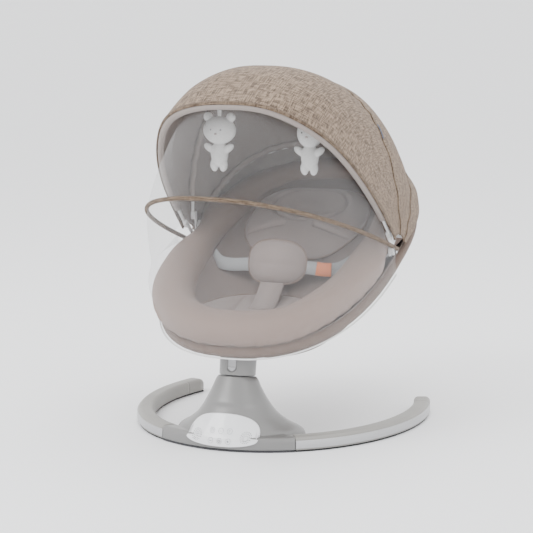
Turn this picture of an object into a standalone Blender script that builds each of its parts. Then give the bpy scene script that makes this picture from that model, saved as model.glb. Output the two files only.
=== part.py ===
"""Electric baby swing.

A horseshoe base carries a motor pedestal at its front.  A leaning neck on the
pedestal turns from side to side and holds a steel ring with the cloth cradle.
A three-bow hood and a hoop with an insect net turn on hinges at the ring's sides.

Units are metres.  +Z is up, -Y is the front, X = 0 is the plane of symmetry and
the floor is Z = 0.
"""

import math

import bmesh
import bpy
from mathutils import Matrix, Vector

GAP = 0.0004                    # clearance between pieces that touch
SHARP_ANGLE = math.radians(35)  # edges steeper than this stay sharp

# Base ring: the outer edge of the horseshoe is an ellipse.
RING_Y = 0.0231
RING_HALF_WIDTH = 0.270
RING_HALF_DEPTH = 0.327
ARM_WIDTH = 0.032
ARM_TOP = 0.027
STRIP_HEIGHT = 0.003
SEAM_ANGLE = math.radians(61.7)
CAP_ANGLE = math.radians(-14.5)
END_ANGLE = math.radians(-25.0)
TRIM_DEPTH = 0.002
TRIM_LOW, TRIM_HIGH = 0.0065, 0.0215

# Pedestal and neck.
WALL = 0.003
NECK_Y = RING_Y - 0.243
NECK_Z = 0.1205
NECK_TILT = math.radians(9.0)
NECK_RADIUS = 0.0325
NECK_LENGTH = 0.0445
SHAFT_RADIUS = 0.010
SWING_PITCH_RADIUS = 0.036
PINION_PITCH_RADIUS = 0.009
TOOTH_MODULE = 0.0015
GEAR_LEVEL = -0.083             # along the neck's axis, from its lower end
SHAFT_TOP = 0.034
PIN_RADIUS = 0.004
PIN_LEVEL = 0.0535              # recline pin, along the same axis
LUG_HALF = 0.0110               # half the lug's width, and the radius of the eyes round the pin
EYE_RADIUS = 0.0090
BRACKET_HALF = 0.0190

# Control panel: a leaning plate with an arched outline.
PANEL_CENTRE = Vector((0.0, RING_Y - 0.3165, 0.0360))
PANEL_LEAN = math.radians(25.5)
PANEL_HALF_WIDTH = 0.0675
PANEL_RISE, PANEL_DROP = 0.0430, 0.0135
PANEL_SILL = -0.0145
BUTTON_RADIUS = 0.0046

# Cradle: its rim lies in a plane that rises to the back.
HINGE_Y = RING_Y + 0.040
HINGE_Z = 0.317
RIM_TILT = math.radians(21.0)
RIM_HALF_WIDTH = 0.177
RIM_FRONT, RIM_BACK = 0.332, 0.278
RIM_LEVEL = 0.0095              # rim's centre line above the hinge axis
RIM_FULLNESS = 2.6
ROLL_RADIUS = 0.031
TUBE_RADIUS = 0.008
TUBE_OUT, TUBE_DOWN = 0.0254, 0.0303
BELLY_POLE = Vector((0.0, RING_Y + 0.005, 0.128))
BELLY_POWER = 2.2
PAD_THICKNESS = 0.014

# Hood: reach from the hinge axis at each angle above the horizontal front.
HOOD_HALF_WIDTH = 0.214
HOOD_FULLNESS = 2.62
HOOD_REACH = ((17.5, 0.459), (41, 0.446), (55, 0.415), (68, 0.378), (83, 0.328), (100, 0.310),
              (120, 0.289), (138, 0.272), (150, 0.302), (157, 0.330), (165, 0.334))
FRONT_BOW_ANGLE, MID_BOW_ANGLE, REAR_BOW_ANGLE, HOOD_END_ANGLE = 41.0, 83.0, 138.0, 162.0
HOOD_THICKNESS = 0.0024
BOW_RADIUS = 0.0030

# Insect net.
NET_HALF_WIDTH = 0.214
NET_FULLNESS = 2.25
NET_REACH = ((-26, 0.352), (-18, 0.368), (-10, 0.388), (0, 0.415), (17.5, 0.459), (41, 0.432), (50, 0.414))
NET_HOOP_ANGLE = 17.5
NET_HOOP_RADIUS = 0.0036
NET_THICKNESS = 0.0012

# Toys hang under the hood.
TOY_X = 0.088
TOY_Y = RING_Y - 0.110
TOY_TOP = 0.578
TOY_HANG = 0.636

FINISHES = {
    "silver_plastic": ((0.46, 0.46, 0.47), 0.42, 0.15),
    "arm_plastic": ((0.52, 0.51, 0.47), 0.50, 0.0),
    "brushed_silver": ((0.66, 0.66, 0.67), 0.28, 1.0),
    "dark_plastic": ((0.03, 0.03, 0.035), 0.60, 0.0),
    "rubber": ((0.02, 0.02, 0.02), 0.85, 0.0),
    "white_gloss": ((0.85, 0.86, 0.88), 0.12, 0.0),
    "white_plastic": ((0.80, 0.80, 0.80), 0.35, 0.0),
    "steel": ((0.55, 0.56, 0.58), 0.30, 1.0),
    "zinc": ((0.60, 0.60, 0.58), 0.40, 1.0),
    "board_green": ((0.03, 0.16, 0.07), 0.50, 0.0),
    "bronze": ((0.55, 0.36, 0.16), 0.40, 1.0),
    "nylon_gear": ((0.78, 0.76, 0.70), 0.45, 0.0),
    "melange_fabric": ((0.36, 0.29, 0.23), 0.90, 0.0),
    "cradle_fabric": ((0.46, 0.38, 0.34), 0.90, 0.0),
    "pad_fabric": ((0.50, 0.44, 0.42), 0.90, 0.0),
    "belly_fabric": ((0.30, 0.24, 0.20), 0.90, 0.0),
    "strap_webbing": ((0.52, 0.53, 0.54), 0.80, 0.0),
    "net_mesh": ((0.85, 0.86, 0.86), 0.80, 0.0),
    "plush": ((0.88, 0.88, 0.86), 0.95, 0.0),
}


# ---------------------------------------------------------------- scene set-up

def clear_scene():
    for item in list(bpy.data.objects):
        bpy.data.objects.remove(item, do_unlink=True)


def collection(name):
    group = bpy.data.collections.new(name)
    bpy.context.scene.collection.children.link(group)
    return group


def finish_of(name):
    """The material of one finish, made the first time it is asked for."""
    material = bpy.data.materials.get(name)
    if material is None:
        colour, roughness, metallic = FINISHES[name]
        material = bpy.data.materials.new(name)
        material.use_nodes = True
        shader = material.node_tree.nodes["Principled BSDF"]
        shader.inputs["Base Color"].default_value = (*colour, 1.0)
        shader.inputs["Roughness"].default_value = roughness
        shader.inputs["Metallic"].default_value = metallic
    return material


clear_scene()
PARTS = collection("baby_swing")
CUTTERS = collection("cutters")


# ---------------------------------------------------------------- making bodies

def empty(name, place, turn=None, parent=None):
    """An empty that stands for a joint or a tilted frame."""
    item = bpy.data.objects.new(name, None)
    item.matrix_local = Matrix.Translation(place) @ (turn or Matrix())
    item.parent = parent
    item.empty_display_size = 0.02
    PARTS.objects.link(item)
    return item


def body(name, bm, finish, parent=None, cutter=False):
    """A named object from a bmesh whose points are in the parent's frame."""
    bmesh.ops.recalc_face_normals(bm, faces=bm.faces)
    mesh = bpy.data.meshes.new(name)
    bm.to_mesh(mesh)
    bm.free()
    item = bpy.data.objects.new(name, mesh)
    item.parent = parent
    (CUTTERS if cutter else PARTS).objects.link(item)
    if cutter:
        item.hide_render = True
        item.display_type = "WIRE"
    else:
        mesh.materials.append(finish_of(finish))
        mesh.shade_smooth()
        mesh.set_sharp_from_angle(angle=SHARP_ANGLE)
    return item


def skin(rings, loop=False):
    """Faces between equal rings of points, with end caps unless the rings close into a loop."""
    bm = bmesh.new()
    rows = [[bm.verts.new(point) for point in ring] for ring in rings]
    pairs = list(zip(rows, rows[1:]))
    if loop:
        pairs.append((rows[-1], rows[0]))
    else:
        bm.faces.new(rows[0])
        bm.faces.new(rows[-1])
    for low, high in pairs:
        for i in range(len(low)):
            j = (i + 1) % len(low)
            bm.faces.new((low[i], low[j], high[j], high[i]))
    return bm


def slab(rows, thickness, straight_down=False):
    """A closed sheet: a grid of points and its copy moved by the thickness, back along each normal or down."""
    bm = bmesh.new()
    grid = [[bm.verts.new(point) for point in row] for row in rows]
    for low, high in zip(grid, grid[1:]):
        for i in range(len(low) - 1):
            bm.faces.new((low[i], low[i + 1], high[i + 1], high[i]))
    bm.normal_update()
    top = list(bm.faces)
    down = Vector((0, 0, -thickness))
    shift = {vert: down if straight_down else vert.normal * -thickness for row in grid for vert in row}
    lower = {vert: bm.verts.new(vert.co + move) for vert, move in shift.items()}
    border = [edge for edge in bm.edges if len(edge.link_faces) == 1]
    for face in top:
        bm.faces.new([lower[vert] for vert in reversed(face.verts)])
    for edge in border:
        a, b = edge.verts
        bm.faces.new((a, b, lower[b], lower[a]))
    return bm


def box(low, high):
    """A box between two corners."""
    bm = bmesh.new()
    size = Vector(high) - Vector(low)
    centre = (Vector(high) + Vector(low)) / 2
    bmesh.ops.create_cube(bm, size=1.0, matrix=Matrix.Translation(centre) @ Matrix.Diagonal((*size, 1.0)))
    return bm


def rod(start, end, radius, sides=16, end_radius=None):
    """A cylinder or a cone between two points."""
    start, end = Vector(start), Vector(end)
    turn = (end - start).to_track_quat("Z", "Y").to_matrix().to_4x4()
    bm = bmesh.new()
    bmesh.ops.create_cone(
        bm, cap_ends=True, segments=sides, radius1=radius,
        radius2=radius if end_radius is None else end_radius, depth=(end - start).length,
        matrix=Matrix.Translation((start + end) / 2) @ turn)
    return bm


def ball(centre, radii, turns=12, rings=8):
    """An ellipsoid."""
    bm = bmesh.new()
    bmesh.ops.create_uvsphere(
        bm, u_segments=turns, v_segments=rings, radius=1.0,
        matrix=Matrix.Translation(centre) @ Matrix.Diagonal((*radii, 1.0)))
    return bm


def prism(outline, low, high):
    """A flat outline in X and Y carried from one height to another."""
    return skin([[Vector((x, y, z)) for x, y in outline] for z in (low, high)])


def boolean(item, cutter, operation="DIFFERENCE"):
    """Joins or cuts an object with another and keeps the result as its mesh."""
    step = item.modifiers.new(operation.lower(), "BOOLEAN")
    step.operation = operation
    step.solver = "EXACT"
    step.object = cutter
    bpy.context.view_layer.update()
    ready = item.evaluated_get(bpy.context.evaluated_depsgraph_get())
    mesh = bpy.data.meshes.new_from_object(ready)
    item.modifiers.remove(step)
    item.data = mesh
    bpy.data.objects.remove(cutter, do_unlink=True)
    bm = bmesh.new()
    bm.from_mesh(mesh)
    bmesh.ops.dissolve_degenerate(bm, edges=bm.edges, dist=0.00001)
    bm.to_mesh(mesh)
    bm.free()
    mesh.shade_smooth()
    mesh.set_sharp_from_angle(angle=SHARP_ANGLE)
    return item


def cut(item, bm, parent=None):
    return boolean(item, body(item.name + "_cutter", bm, None, parent, cutter=True))


def join(item, bm, parent=None):
    return boolean(item, body(item.name + "_adder", bm, None, parent, cutter=True), "UNION")


def tube(name, points, radius, finish, parent=None, closed=False, sides=2):
    """A round tube or wire along points: a POLY curve with a bevel."""
    curve = bpy.data.curves.new(name, "CURVE")
    curve.dimensions = "3D"
    curve.bevel_depth = radius
    curve.bevel_resolution = sides
    curve.use_fill_caps = not closed
    spline = curve.splines.new("POLY")
    spline.points.add(len(points) - 1)
    for target, point in zip(spline.points, points):
        target.co = (*point, 1.0)
    spline.use_cyclic_u = closed
    curve.materials.append(finish_of(finish))
    item = bpy.data.objects.new(name, curve)
    item.parent = parent
    PARTS.objects.link(item)
    return item


def as_mesh(item):
    """A curve object made a mesh, so that it can be joined to others."""
    ready = item.evaluated_get(bpy.context.evaluated_depsgraph_get())
    mesh = bpy.data.meshes.new_from_object(ready)
    bm = bmesh.new()
    bm.from_mesh(mesh)
    bmesh.ops.remove_doubles(bm, verts=bm.verts, dist=0.00005)
    bmesh.ops.recalc_face_normals(bm, faces=bm.faces)
    bm.to_mesh(mesh)
    bm.free()
    name, world = item.name, item.matrix_world.copy()
    bpy.data.objects.remove(item, do_unlink=True)
    solid = bpy.data.objects.new(name, mesh)
    solid.matrix_world = world
    PARTS.objects.link(solid)
    return solid


def put_origin(item, point):
    """Moves an object's origin to a point on its joint's axis, in its parent's frame; the body stays."""
    item.data.transform(Matrix.Translation(-point))
    item.location = point


def hang_on(joint, names):
    """Parents world-placed pieces to their joint's empty without moving them."""
    for name in names:
        item = bpy.data.objects[name]
        item.parent = joint
        item.matrix_parent_inverse = joint.matrix_world.inverted()


# ---------------------------------------------------------------- shared shapes

def spread(low, high, count):
    """Evenly spaced values, both ends included."""
    return [low + (high - low) * i / (count - 1) for i in range(count)]


def between(table, key):
    """A value read from a table of (key, value) pairs, straight between its rows."""
    for (k0, v0), (k1, v1) in zip(table, table[1:]):
        if key <= k1:
            return v0 + (v1 - v0) * max(0.0, key - k0) / (k1 - k0)
    return table[-1][1]


def power(value, exponent):
    """A signed power, for superellipses."""
    return math.copysign(abs(value) ** exponent, value)


def ring_point(angle, inset, height):
    """The base ring's outer ellipse, moved inwards along its normal; 90 degrees is the front."""
    c, s = math.cos(angle), math.sin(angle)
    normal = Vector((RING_HALF_DEPTH * c, -RING_HALF_WIDTH * s, 0)).normalized()
    return Vector((RING_HALF_WIDTH * c, RING_Y - RING_HALF_DEPTH * s, height)) - normal * inset


def rim_point(turn, outward=0.0, down=0.0):
    """The cradle's rim, a superellipse in its tilted plane; 0 is right and 90 degrees the front."""
    c, s = math.cos(turn), math.sin(turn)
    reach = RIM_FRONT if s >= 0 else RIM_BACK
    x = RIM_HALF_WIDTH * power(c, 2 / RIM_FULLNESS)
    y = -reach * power(s, 2 / RIM_FULLNESS)
    nx, ny = power(c, 1.2) / RIM_HALF_WIDTH, -power(s, 1.2) / reach
    size = math.hypot(nx, ny)
    x, y = x + outward * nx / size, y + outward * ny / size
    return Vector((x, HINGE_Y + y * math.cos(RIM_TILT) + down * math.sin(RIM_TILT),
                   HINGE_Z + RIM_LEVEL + y * math.sin(RIM_TILT) - down * math.cos(RIM_TILT)))


def hood_point(angle, turn, inset=0.0, half_width=HOOD_HALF_WIDTH, fullness=HOOD_FULLNESS, table=HOOD_REACH):
    """The hood's skin: a superellipse from hinge to hinge whose plane leans by the angle in degrees."""
    x = (half_width - inset) * power(math.cos(turn), 2 / fullness)
    reach = (between(table, angle) - inset) * math.sin(turn) ** (2 / fullness)
    lean = math.radians(angle)
    return Vector((x, HINGE_Y - reach * math.cos(lean), HINGE_Z + reach * math.sin(lean)))


def net_point(angle, turn, inset=0.0, half_width=NET_HALF_WIDTH):
    """The same for the insect net."""
    return hood_point(angle, turn, inset, half_width, NET_FULLNESS, NET_REACH)


def turn_at(distance, reach, fullness):
    """The turn at which a superellipse of this reach is this far from the hinge axis."""
    return math.asin((distance / reach) ** (fullness / 2))


def rim_height(y):
    """Height of the rim's plane above the floor at a depth."""
    return HINGE_Z + RIM_LEVEL + (y - HINGE_Y) * math.tan(RIM_TILT)


def rim_half_width(y):
    """Half of the rim's width at a depth."""
    ahead = (y - HINGE_Y) / math.cos(RIM_TILT)
    share = min(1.0, abs(ahead) / (RIM_BACK if ahead > 0 else RIM_FRONT))
    return RIM_HALF_WIDTH * (1 - share ** RIM_FULLNESS) ** (1 / RIM_FULLNESS)


PAD_PROFILE = tuple((RING_Y + y, z) for y, z in (
    (-0.240, 0.215), (-0.190, 0.205), (-0.130, 0.205), (-0.070, 0.226), (-0.010, 0.268),
    (0.050, 0.310), (0.120, 0.352), (0.190, 0.392), (0.260, 0.418)))
PAD_FRONT, PAD_BACK = RING_Y - 0.220, RING_Y + 0.248
PAD_MARGIN = 0.044              # from the rim's centre line to the pad's edge


def pad_top(x, y):
    """Height of the seat pad's upper face: a hollow that rises to the rim at both sides."""
    middle = between(PAD_PROFILE, y)
    edge = max(middle, rim_height(y) - 0.006)
    half = max(0.02, rim_half_width(y) - PAD_MARGIN)
    return middle + (edge - middle) * min(1.0, abs(x) / half) ** 3


# ---------------------------------------------------------------- base

HUB_LEVELS = (                  # height, half width, front and back of the pedestal at X = 0, arching
    (0.0035, 0.118, -0.3265, -0.186, 1.00),
    (0.0150, 0.118, -0.3265, -0.186, 1.00),
    (0.0260, 0.112, -0.3225, -0.186, 0.95),
    (0.0380, 0.092, -0.3165, -0.187, 0.80),
    (0.0520, 0.074, -0.3095, -0.189, 0.55),
    (0.0700, 0.060, -0.3005, -0.193, 0.30),
    (0.0880, 0.050, -0.2910, -0.199, 0.12),
    (0.1040, 0.0425, -0.2830, -0.205, 0.0),
    (0.1150, 0.0375, -0.2775, -0.2085, 0.0),
    (0.1195, 0.0340, -0.2755, -0.2095, 0.0),
)
HUB_SIDES = 32


def hub_ring(level, inset):
    """One outline of the pedestal: an oval bent round the ring and tipped like the neck near the top."""
    height, half, front, back, arch = level
    middle, depth = (front + back) / 2, (back - front) / 2 - inset
    fullness = 2.0 + 0.5 * arch
    tip = max(0.0, height - 0.07) / 0.05 * math.tan(NECK_TILT)
    points = []
    for i in range(HUB_SIDES):
        turn = 2 * math.pi * i / HUB_SIDES
        x = (half - inset) * power(math.cos(turn), 2 / fullness)
        y = middle + depth * power(math.sin(turn), 2 / fullness)
        bend = RING_HALF_DEPTH * (1 - math.sqrt(1 - (x / RING_HALF_WIDTH) ** 2)) * arch
        points.append(Vector((x, RING_Y + y + bend, height - tip * (y - middle))))
    return points


def arm_ring(angle, low, high, near, far):
    """Section of an arm: rounded at the top, between two insets from the outer edge."""
    edge = min(0.006, (high - low) / 3, (far - near) / 3)
    shape = ((near, low), (far, low), (far, high - edge), (far - edge * 0.3, high - edge * 0.3),
             (far - edge, high), (near + edge, high), (near + edge * 0.3, high - edge * 0.3), (near, high - edge))
    return [ring_point(angle, inset, height) for inset, height in shape]


def panel_outline(grow):
    """The panel's arched outline in its own frame."""
    points = []
    for i in range(28):
        turn = 2 * math.pi * i / 28
        c, s = math.cos(turn), math.sin(turn)
        x = (PANEL_HALF_WIDTH + grow) * power(c, 2 / 2.3)
        y = PANEL_SILL + ((PANEL_RISE + grow) if s > 0 else (PANEL_DROP + grow)) * power(s, 2 / 2.3)
        points.append((x, y))
    return points


def make_shell():
    """The pedestal's shell: an open-bottomed casing with a hole for the neck and one for the panel."""
    shell = body("pedestal_shell", skin([hub_ring(level, 0.0) for level in HUB_LEVELS]), "silver_plastic")
    sweep = spread(SEAM_ANGLE, math.pi - SEAM_ANGLE, 11)
    join(shell, skin([arm_ring(a, HUB_LEVELS[0][0], ARM_TOP, 0.0, ARM_WIDTH) for a in sweep]))
    hollow = [(level[0] - 0.004 if i == 0 else level[0] - (0.004 if i > 7 else 0.0), *level[1:])
              for i, level in enumerate(HUB_LEVELS[:-1])]
    cut(shell, skin([hub_ring(level, WALL) for level in hollow]))
    bore = rod((0, 0, -0.03), (0, 0, 0.02), SHAFT_RADIUS + 0.004, 24)
    cut(shell, bore, NECK_FRAME)
    cut(shell, prism(panel_outline(GAP), -0.030, 0.03), PANEL_FRAME)
    inlet = RING_Y - 0.186
    cut(shell, rod((0, inlet - 0.03, 0.016), (0, inlet + 0.01, 0.016), 0.0062, 16))
    return shell


def front_layer(outer, inner):
    """The pedestal's front between two offsets of its skin, as a body to cut the panel from."""
    layer = body("layer", skin([hub_ring(level, -outer) for level in HUB_LEVELS[:-1]]), None, cutter=True)
    grown = [(level[0] - 0.01 if i == 0 else level[0] + (0.01 if i == 8 else 0.0), *level[1:])
             for i, level in enumerate(HUB_LEVELS[:-1])]
    return cut(layer, skin([hub_ring(level, inner) for level in grown]))


BUTTON_PLACES = {
    "timer_button": (-0.0165, -0.0005), "swing_button": (0.0, -0.0005), "music_button": (0.0165, -0.0005),
    "minus_button": (-0.0165, -0.0190), "power_button": (0.0, -0.0190), "plus_button": (0.0165, -0.0190),
}


def make_panel():
    """The white fascia and its six push buttons."""
    panel = body("control_panel", prism(panel_outline(-GAP), -0.030, 0.03), "white_gloss", PANEL_FRAME)
    boolean(panel, front_layer(0.0007, 0.0022), "INTERSECT")
    for x, y in BUTTON_PLACES.values():
        cut(panel, rod((x, y, -0.02), (x, y, 0.03), BUTTON_RADIUS, 16), PANEL_FRAME)
    for name, (x, y) in BUTTON_PLACES.items():
        cap = rod((x, y, -0.02), (x, y, 0.03), BUTTON_RADIUS - GAP, 16)
        button = body(name, cap, "white_plastic", PANEL_FRAME)
        boolean(button, front_layer(0.0013, 0.0030), "INTERSECT")
        put_origin(button, Vector((x, y, 0)))


def make_arms():
    """Both arms of the horseshoe, with the brushed strip on the outer side, the end cap and the grip strip."""
    for side, sign in (("right", 1), ("left", -1)):
        def mirrored(angle):
            return angle if sign > 0 else math.pi - angle

        def sweep(name, start, end, count, finish, *section):
            rings = [arm_ring(mirrored(a), *section) for a in spread(start, end, count)]
            return body(name, skin(rings), finish)

        slack = GAP / RING_HALF_WIDTH
        arm = sweep(f"{side}_arm", SEAM_ANGLE - slack, CAP_ANGLE + slack, 15, "arm_plastic",
                    STRIP_HEIGHT + GAP, ARM_TOP, 0.0, ARM_WIDTH)
        groove = [[ring_point(mirrored(a), inset, height) for inset, height in (
            (-0.01, TRIM_LOW - GAP), (TRIM_DEPTH + GAP, TRIM_LOW - GAP),
            (TRIM_DEPTH + GAP, TRIM_HIGH + GAP), (-0.01, TRIM_HIGH + GAP))]
            for a in spread(SEAM_ANGLE + 0.05, CAP_ANGLE - 0.05, 17)]
        cut(arm, skin(groove))
        trim = [[ring_point(mirrored(a), inset, height) for inset, height in (
            (0.0, TRIM_LOW), (TRIM_DEPTH, TRIM_LOW), (TRIM_DEPTH, TRIM_HIGH), (0.0, TRIM_HIGH))]
            for a in spread(SEAM_ANGLE - slack, CAP_ANGLE + slack, 15)]
        body(f"{side}_arm_trim", skin(trim), "brushed_silver")
        sweep(f"{side}_arm_cap", CAP_ANGLE - slack, END_ANGLE, 4, "arm_plastic",
              STRIP_HEIGHT + GAP, ARM_TOP, 0.0, ARM_WIDTH)
        strip = [[ring_point(mirrored(a), inset, height) for inset, height in (
            (0.003, 0.0), (ARM_WIDTH - 0.003, 0.0), (ARM_WIDTH - 0.003, STRIP_HEIGHT), (0.003, STRIP_HEIGHT))]
            for a in spread(SEAM_ANGLE - slack, END_ANGLE + 0.02, 15)]
        body(f"{side}_grip_strip", skin(strip), "rubber")


def make_bottom():
    """The dark cover that closes the pedestal from below and rests on the floor."""
    level = HUB_LEVELS[0]
    inset = 0.0015
    outline = hub_ring(level, inset)
    plate = body("bottom_cover", skin([[Vector((p.x, p.y, z)) for p in outline] for z in (0.0, STRIP_HEIGHT)]),
                 "dark_plastic")
    sweep = spread(SEAM_ANGLE + 0.004, math.pi - SEAM_ANGLE - 0.004, 13)
    flange = [[ring_point(a, i, z) for i, z in ((inset, 0.0), (ARM_WIDTH - inset, 0.0),
                                                (ARM_WIDTH - inset, STRIP_HEIGHT), (inset, STRIP_HEIGHT))]
              for a in sweep]
    join(plate, skin(flange))


# ---------------------------------------------------------------- drive inside the pedestal

def gear_outline(pitch_radius, teeth, first, count):
    """A gear's or a sector's outline: flat-topped teeth, narrower than their gaps for free running."""
    pitch = 2 * math.pi / teeth
    root, tip = pitch_radius - 1.35 * TOOTH_MODULE, pitch_radius + 0.8 * TOOTH_MODULE
    points = []
    for i in range(count):
        middle = first + i * pitch
        for share, radius in ((-0.30, root), (-0.11, tip), (0.11, tip), (0.30, root)):
            angle = middle + share * pitch
            points.append((radius * math.cos(angle), radius * math.sin(angle)))
    return points


def ring_washer(name, inner, outer, low, high, finish, parent):
    """A plain bush: a ring of square section about the neck's axis."""
    rings = []
    for i in range(24):
        c, s = math.cos(math.tau * i / 24), math.sin(math.tau * i / 24)
        rings.append([Vector((r * c, r * s, z)) for r, z in ((inner, low), (outer, low), (outer, high), (inner, high))])
    return body(name, skin(rings, loop=True), finish, parent)


def make_drive():
    """Gearbox frame, bushes, motor, speaker, circuit board and power inlet, all fixed in the base."""
    frame = body("gearbox_frame", box((-0.020, -0.014, -0.0705), (0.020, 0.022, -0.0665)), "zinc", NECK_FRAME)
    join(frame, box((-0.0195, 0.018, -0.105), (0.004, 0.0215, -0.067)), NECK_FRAME)
    join(frame, box((-0.020, -0.014, -0.105), (0.020, 0.022, -0.101)), NECK_FRAME)
    cut(frame, rod((0, 0, -0.11), (0, 0, -0.06), SHAFT_RADIUS + 0.003, 24), NECK_FRAME)
    ring_washer("shaft_bush", SHAFT_RADIUS + GAP, SHAFT_RADIUS + 0.0026, -0.0715, -0.0655, "bronze", NECK_FRAME)
    reach = SWING_PITCH_RADIUS + PINION_PITCH_RADIUS
    body("drive_motor", rod((reach, 0, GEAR_LEVEL - 0.0225), (reach, 0, GEAR_LEVEL - 0.0050), 0.0125, 20),
         "steel", NECK_FRAME)
    body("circuit_board", box((-0.040, -0.024, -0.0135), (0.026, 0.012, -0.0120)), "board_green", PANEL_FRAME)
    body("speaker", rod((-0.0480, -0.0090, -0.0210), (-0.0480, -0.0090, -0.0155), 0.0055, 20, 0.0068),
         "dark_plastic", PANEL_FRAME)
    back = RING_Y - 0.186
    jack = body("power_inlet", rod((0, back - 0.014, 0.016), (0, back + 0.0006, 0.016), 0.0058, 16), "dark_plastic")
    cut(jack, rod((0, back - 0.010, 0.016), (0, back + 0.01, 0.016), 0.0032, 12))
    return frame


# ---------------------------------------------------------------- neck, on the swing joint

def make_neck():
    """What turns with the swing: shaft, toothed sector, sleeve and the lug that carries the cradle."""
    body("swing_shaft", rod((0, 0, -0.1035), (0, 0, SHAFT_TOP), SHAFT_RADIUS, 20), "steel", NECK_FRAME)
    hub = SHAFT_RADIUS + GAP
    teeth = round(2 * SWING_PITCH_RADIUS / TOOTH_MODULE)
    span = 9
    pitch = 2 * math.pi / teeth
    arc = gear_outline(SWING_PITCH_RADIUS, teeth, -pitch * (span // 2), span)
    back = [((hub + 0.005) * math.cos(a), (hub + 0.005) * math.sin(a))
            for a in spread(math.radians(70), math.radians(290), 14)]
    sector = body("sector_gear", prism(arc + back, GEAR_LEVEL - 0.003, GEAR_LEVEL + 0.003), "nylon_gear", NECK_FRAME)
    cut(sector, rod((0, 0, -0.11), (0, 0, -0.06), hub, 24), NECK_FRAME)

    pinion_teeth = round(2 * PINION_PITCH_RADIUS / TOOTH_MODULE)
    half_pitch = math.pi / pinion_teeth
    outline = gear_outline(PINION_PITCH_RADIUS, pinion_teeth, half_pitch, pinion_teeth)
    body("drive_pinion", prism(outline, -0.0034, 0.0034), "bronze", PINION_JOINT)

    profile = ((NECK_RADIUS - 0.0025, 0.0006), (NECK_RADIUS, 0.0006), (NECK_RADIUS + 0.0008, NECK_LENGTH),
               (NECK_RADIUS - 0.0017, NECK_LENGTH))
    rings = [[Vector((r * math.cos(a), r * math.sin(a), z)) for r, z in profile]
             for a in (math.tau * i / 40 for i in range(40))]
    sleeve = body("neck_sleeve", skin(rings, loop=True), "silver_plastic", NECK_FRAME)
    cut(sleeve, button_prism(GAP, -0.045, -0.020), NECK_FRAME)
    head = body("neck_head", rod((0, 0, 0.0008), (0, 0, 0.0390), NECK_RADIUS - 0.0030, 28), "zinc", NECK_FRAME)
    join(head, box((-LUG_HALF, -0.0080, 0.0370), (LUG_HALF, 0.0080, PIN_LEVEL)), NECK_FRAME)
    join(head, rod((-LUG_HALF, 0, PIN_LEVEL), (LUG_HALF, 0, PIN_LEVEL), EYE_RADIUS, 20), NECK_FRAME)
    cut(head, rod((0, 0, -0.01), (0, 0, SHAFT_TOP + GAP), SHAFT_RADIUS + GAP, 24), NECK_FRAME)
    cut(head, button_prism(0.002, -0.045, -0.018), NECK_FRAME)
    cut(head, rod((-0.02, 0, PIN_LEVEL), (0.02, 0, PIN_LEVEL), PIN_RADIUS + GAP, 16), NECK_FRAME)


def button_prism(grow, near, far):
    """The release button's slot: an upright oval carried along Y of the neck's frame."""
    half_width, half_height = 0.0082 + grow, 0.0138 + grow
    straight = half_height - half_width
    middle = 0.0215
    outline = []
    for i in range(20):
        turn = math.tau * (i + 0.5) / 20
        outline.append((half_width * math.cos(turn),
                        middle + half_width * math.sin(turn) + math.copysign(straight, math.sin(turn))))
    return skin([[Vector((x, y, z)) for x, z in outline] for y in (near, far)])


def make_release():
    """The recessed button in the neck that frees the seat's angle, and the return spring behind it."""
    button = body("release_button", button_prism(0.0, -0.0305, -0.0262), "silver_plastic", NECK_FRAME)
    for height in (0.0125, 0.0305):
        join(button, rod((-0.0045, -0.0300, height), (0.0045, -0.0300, height), 0.0016, 12), NECK_FRAME)
    put_origin(button, Vector((0, -0.0305, 0.0215)))
    body("release_spring", box((-0.0030, -0.0236, 0.0165), (0.0030, -0.0226, 0.0265)), "steel", NECK_FRAME)


# ---------------------------------------------------------------- cradle

def make_frame():
    """The steel ring that carries the cloth, the bracket that holds it and the recline pin."""
    loop = [rim_point(math.tau * i / 44, TUBE_OUT, TUBE_DOWN) for i in range(44)]
    tube("seat_ring_tube", loop, TUBE_RADIUS, "steel", closed=True)
    front = rim_point(math.pi / 2, TUBE_OUT, TUBE_DOWN)
    pin = NECK_MATRIX @ Vector((0, 0, PIN_LEVEL))
    low, high = pin.z - 0.0025, pin.z + 0.0082
    bracket = body("seat_bracket", box((-BRACKET_HALF, front.y, low), (BRACKET_HALF, pin.y, high)), "zinc")
    join(bracket, rod((-BRACKET_HALF, pin.y, pin.z), (BRACKET_HALF, pin.y, pin.z), EYE_RADIUS, 20))
    slot = LUG_HALF + 2 * GAP
    cut(bracket, box((-slot, pin.y - 0.0125, low - 0.02), (slot, pin.y + 0.02, high + 0.02)))
    cut(bracket, rod((-0.03, pin.y, pin.z), (0.03, pin.y, pin.z), PIN_RADIUS + GAP, 16))
    cut(bracket, rod((-0.03, front.y, front.z), (0.03, front.y, front.z), TUBE_RADIUS + 0.0022, 24))
    roll = rim_point(math.pi / 2)
    cut(bracket, rod((-0.03, roll.y, roll.z), (0.03, roll.y, roll.z), ROLL_RADIUS + 0.0015, 40))
    body("recline_pin", rod((-BRACKET_HALF - 0.001, pin.y, pin.z), (BRACKET_HALF + 0.001, pin.y, pin.z), PIN_RADIUS, 16), "steel")


def roll_rings(start, end, count, radius):
    """Round sections along the rim whose ends draw in like a stuffed sleeve's."""
    rings = []
    for i, turn in enumerate(spread(start, end, count)):
        here = rim_point(turn)
        out = (rim_point(turn, 0.01) - here).normalized()
        up = Vector((0, -math.sin(RIM_TILT), math.cos(RIM_TILT)))
        share = min(i, count - 1 - i)
        size = radius * (0.55, 0.86, 1.0)[min(share, 2)]
        rings.append([here + (out * math.cos(a) + up * math.sin(a)) * size
                      for a in (math.tau * k / 10 for k in range(10))])
    return rings


BELLY_SIDES = 28


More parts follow.
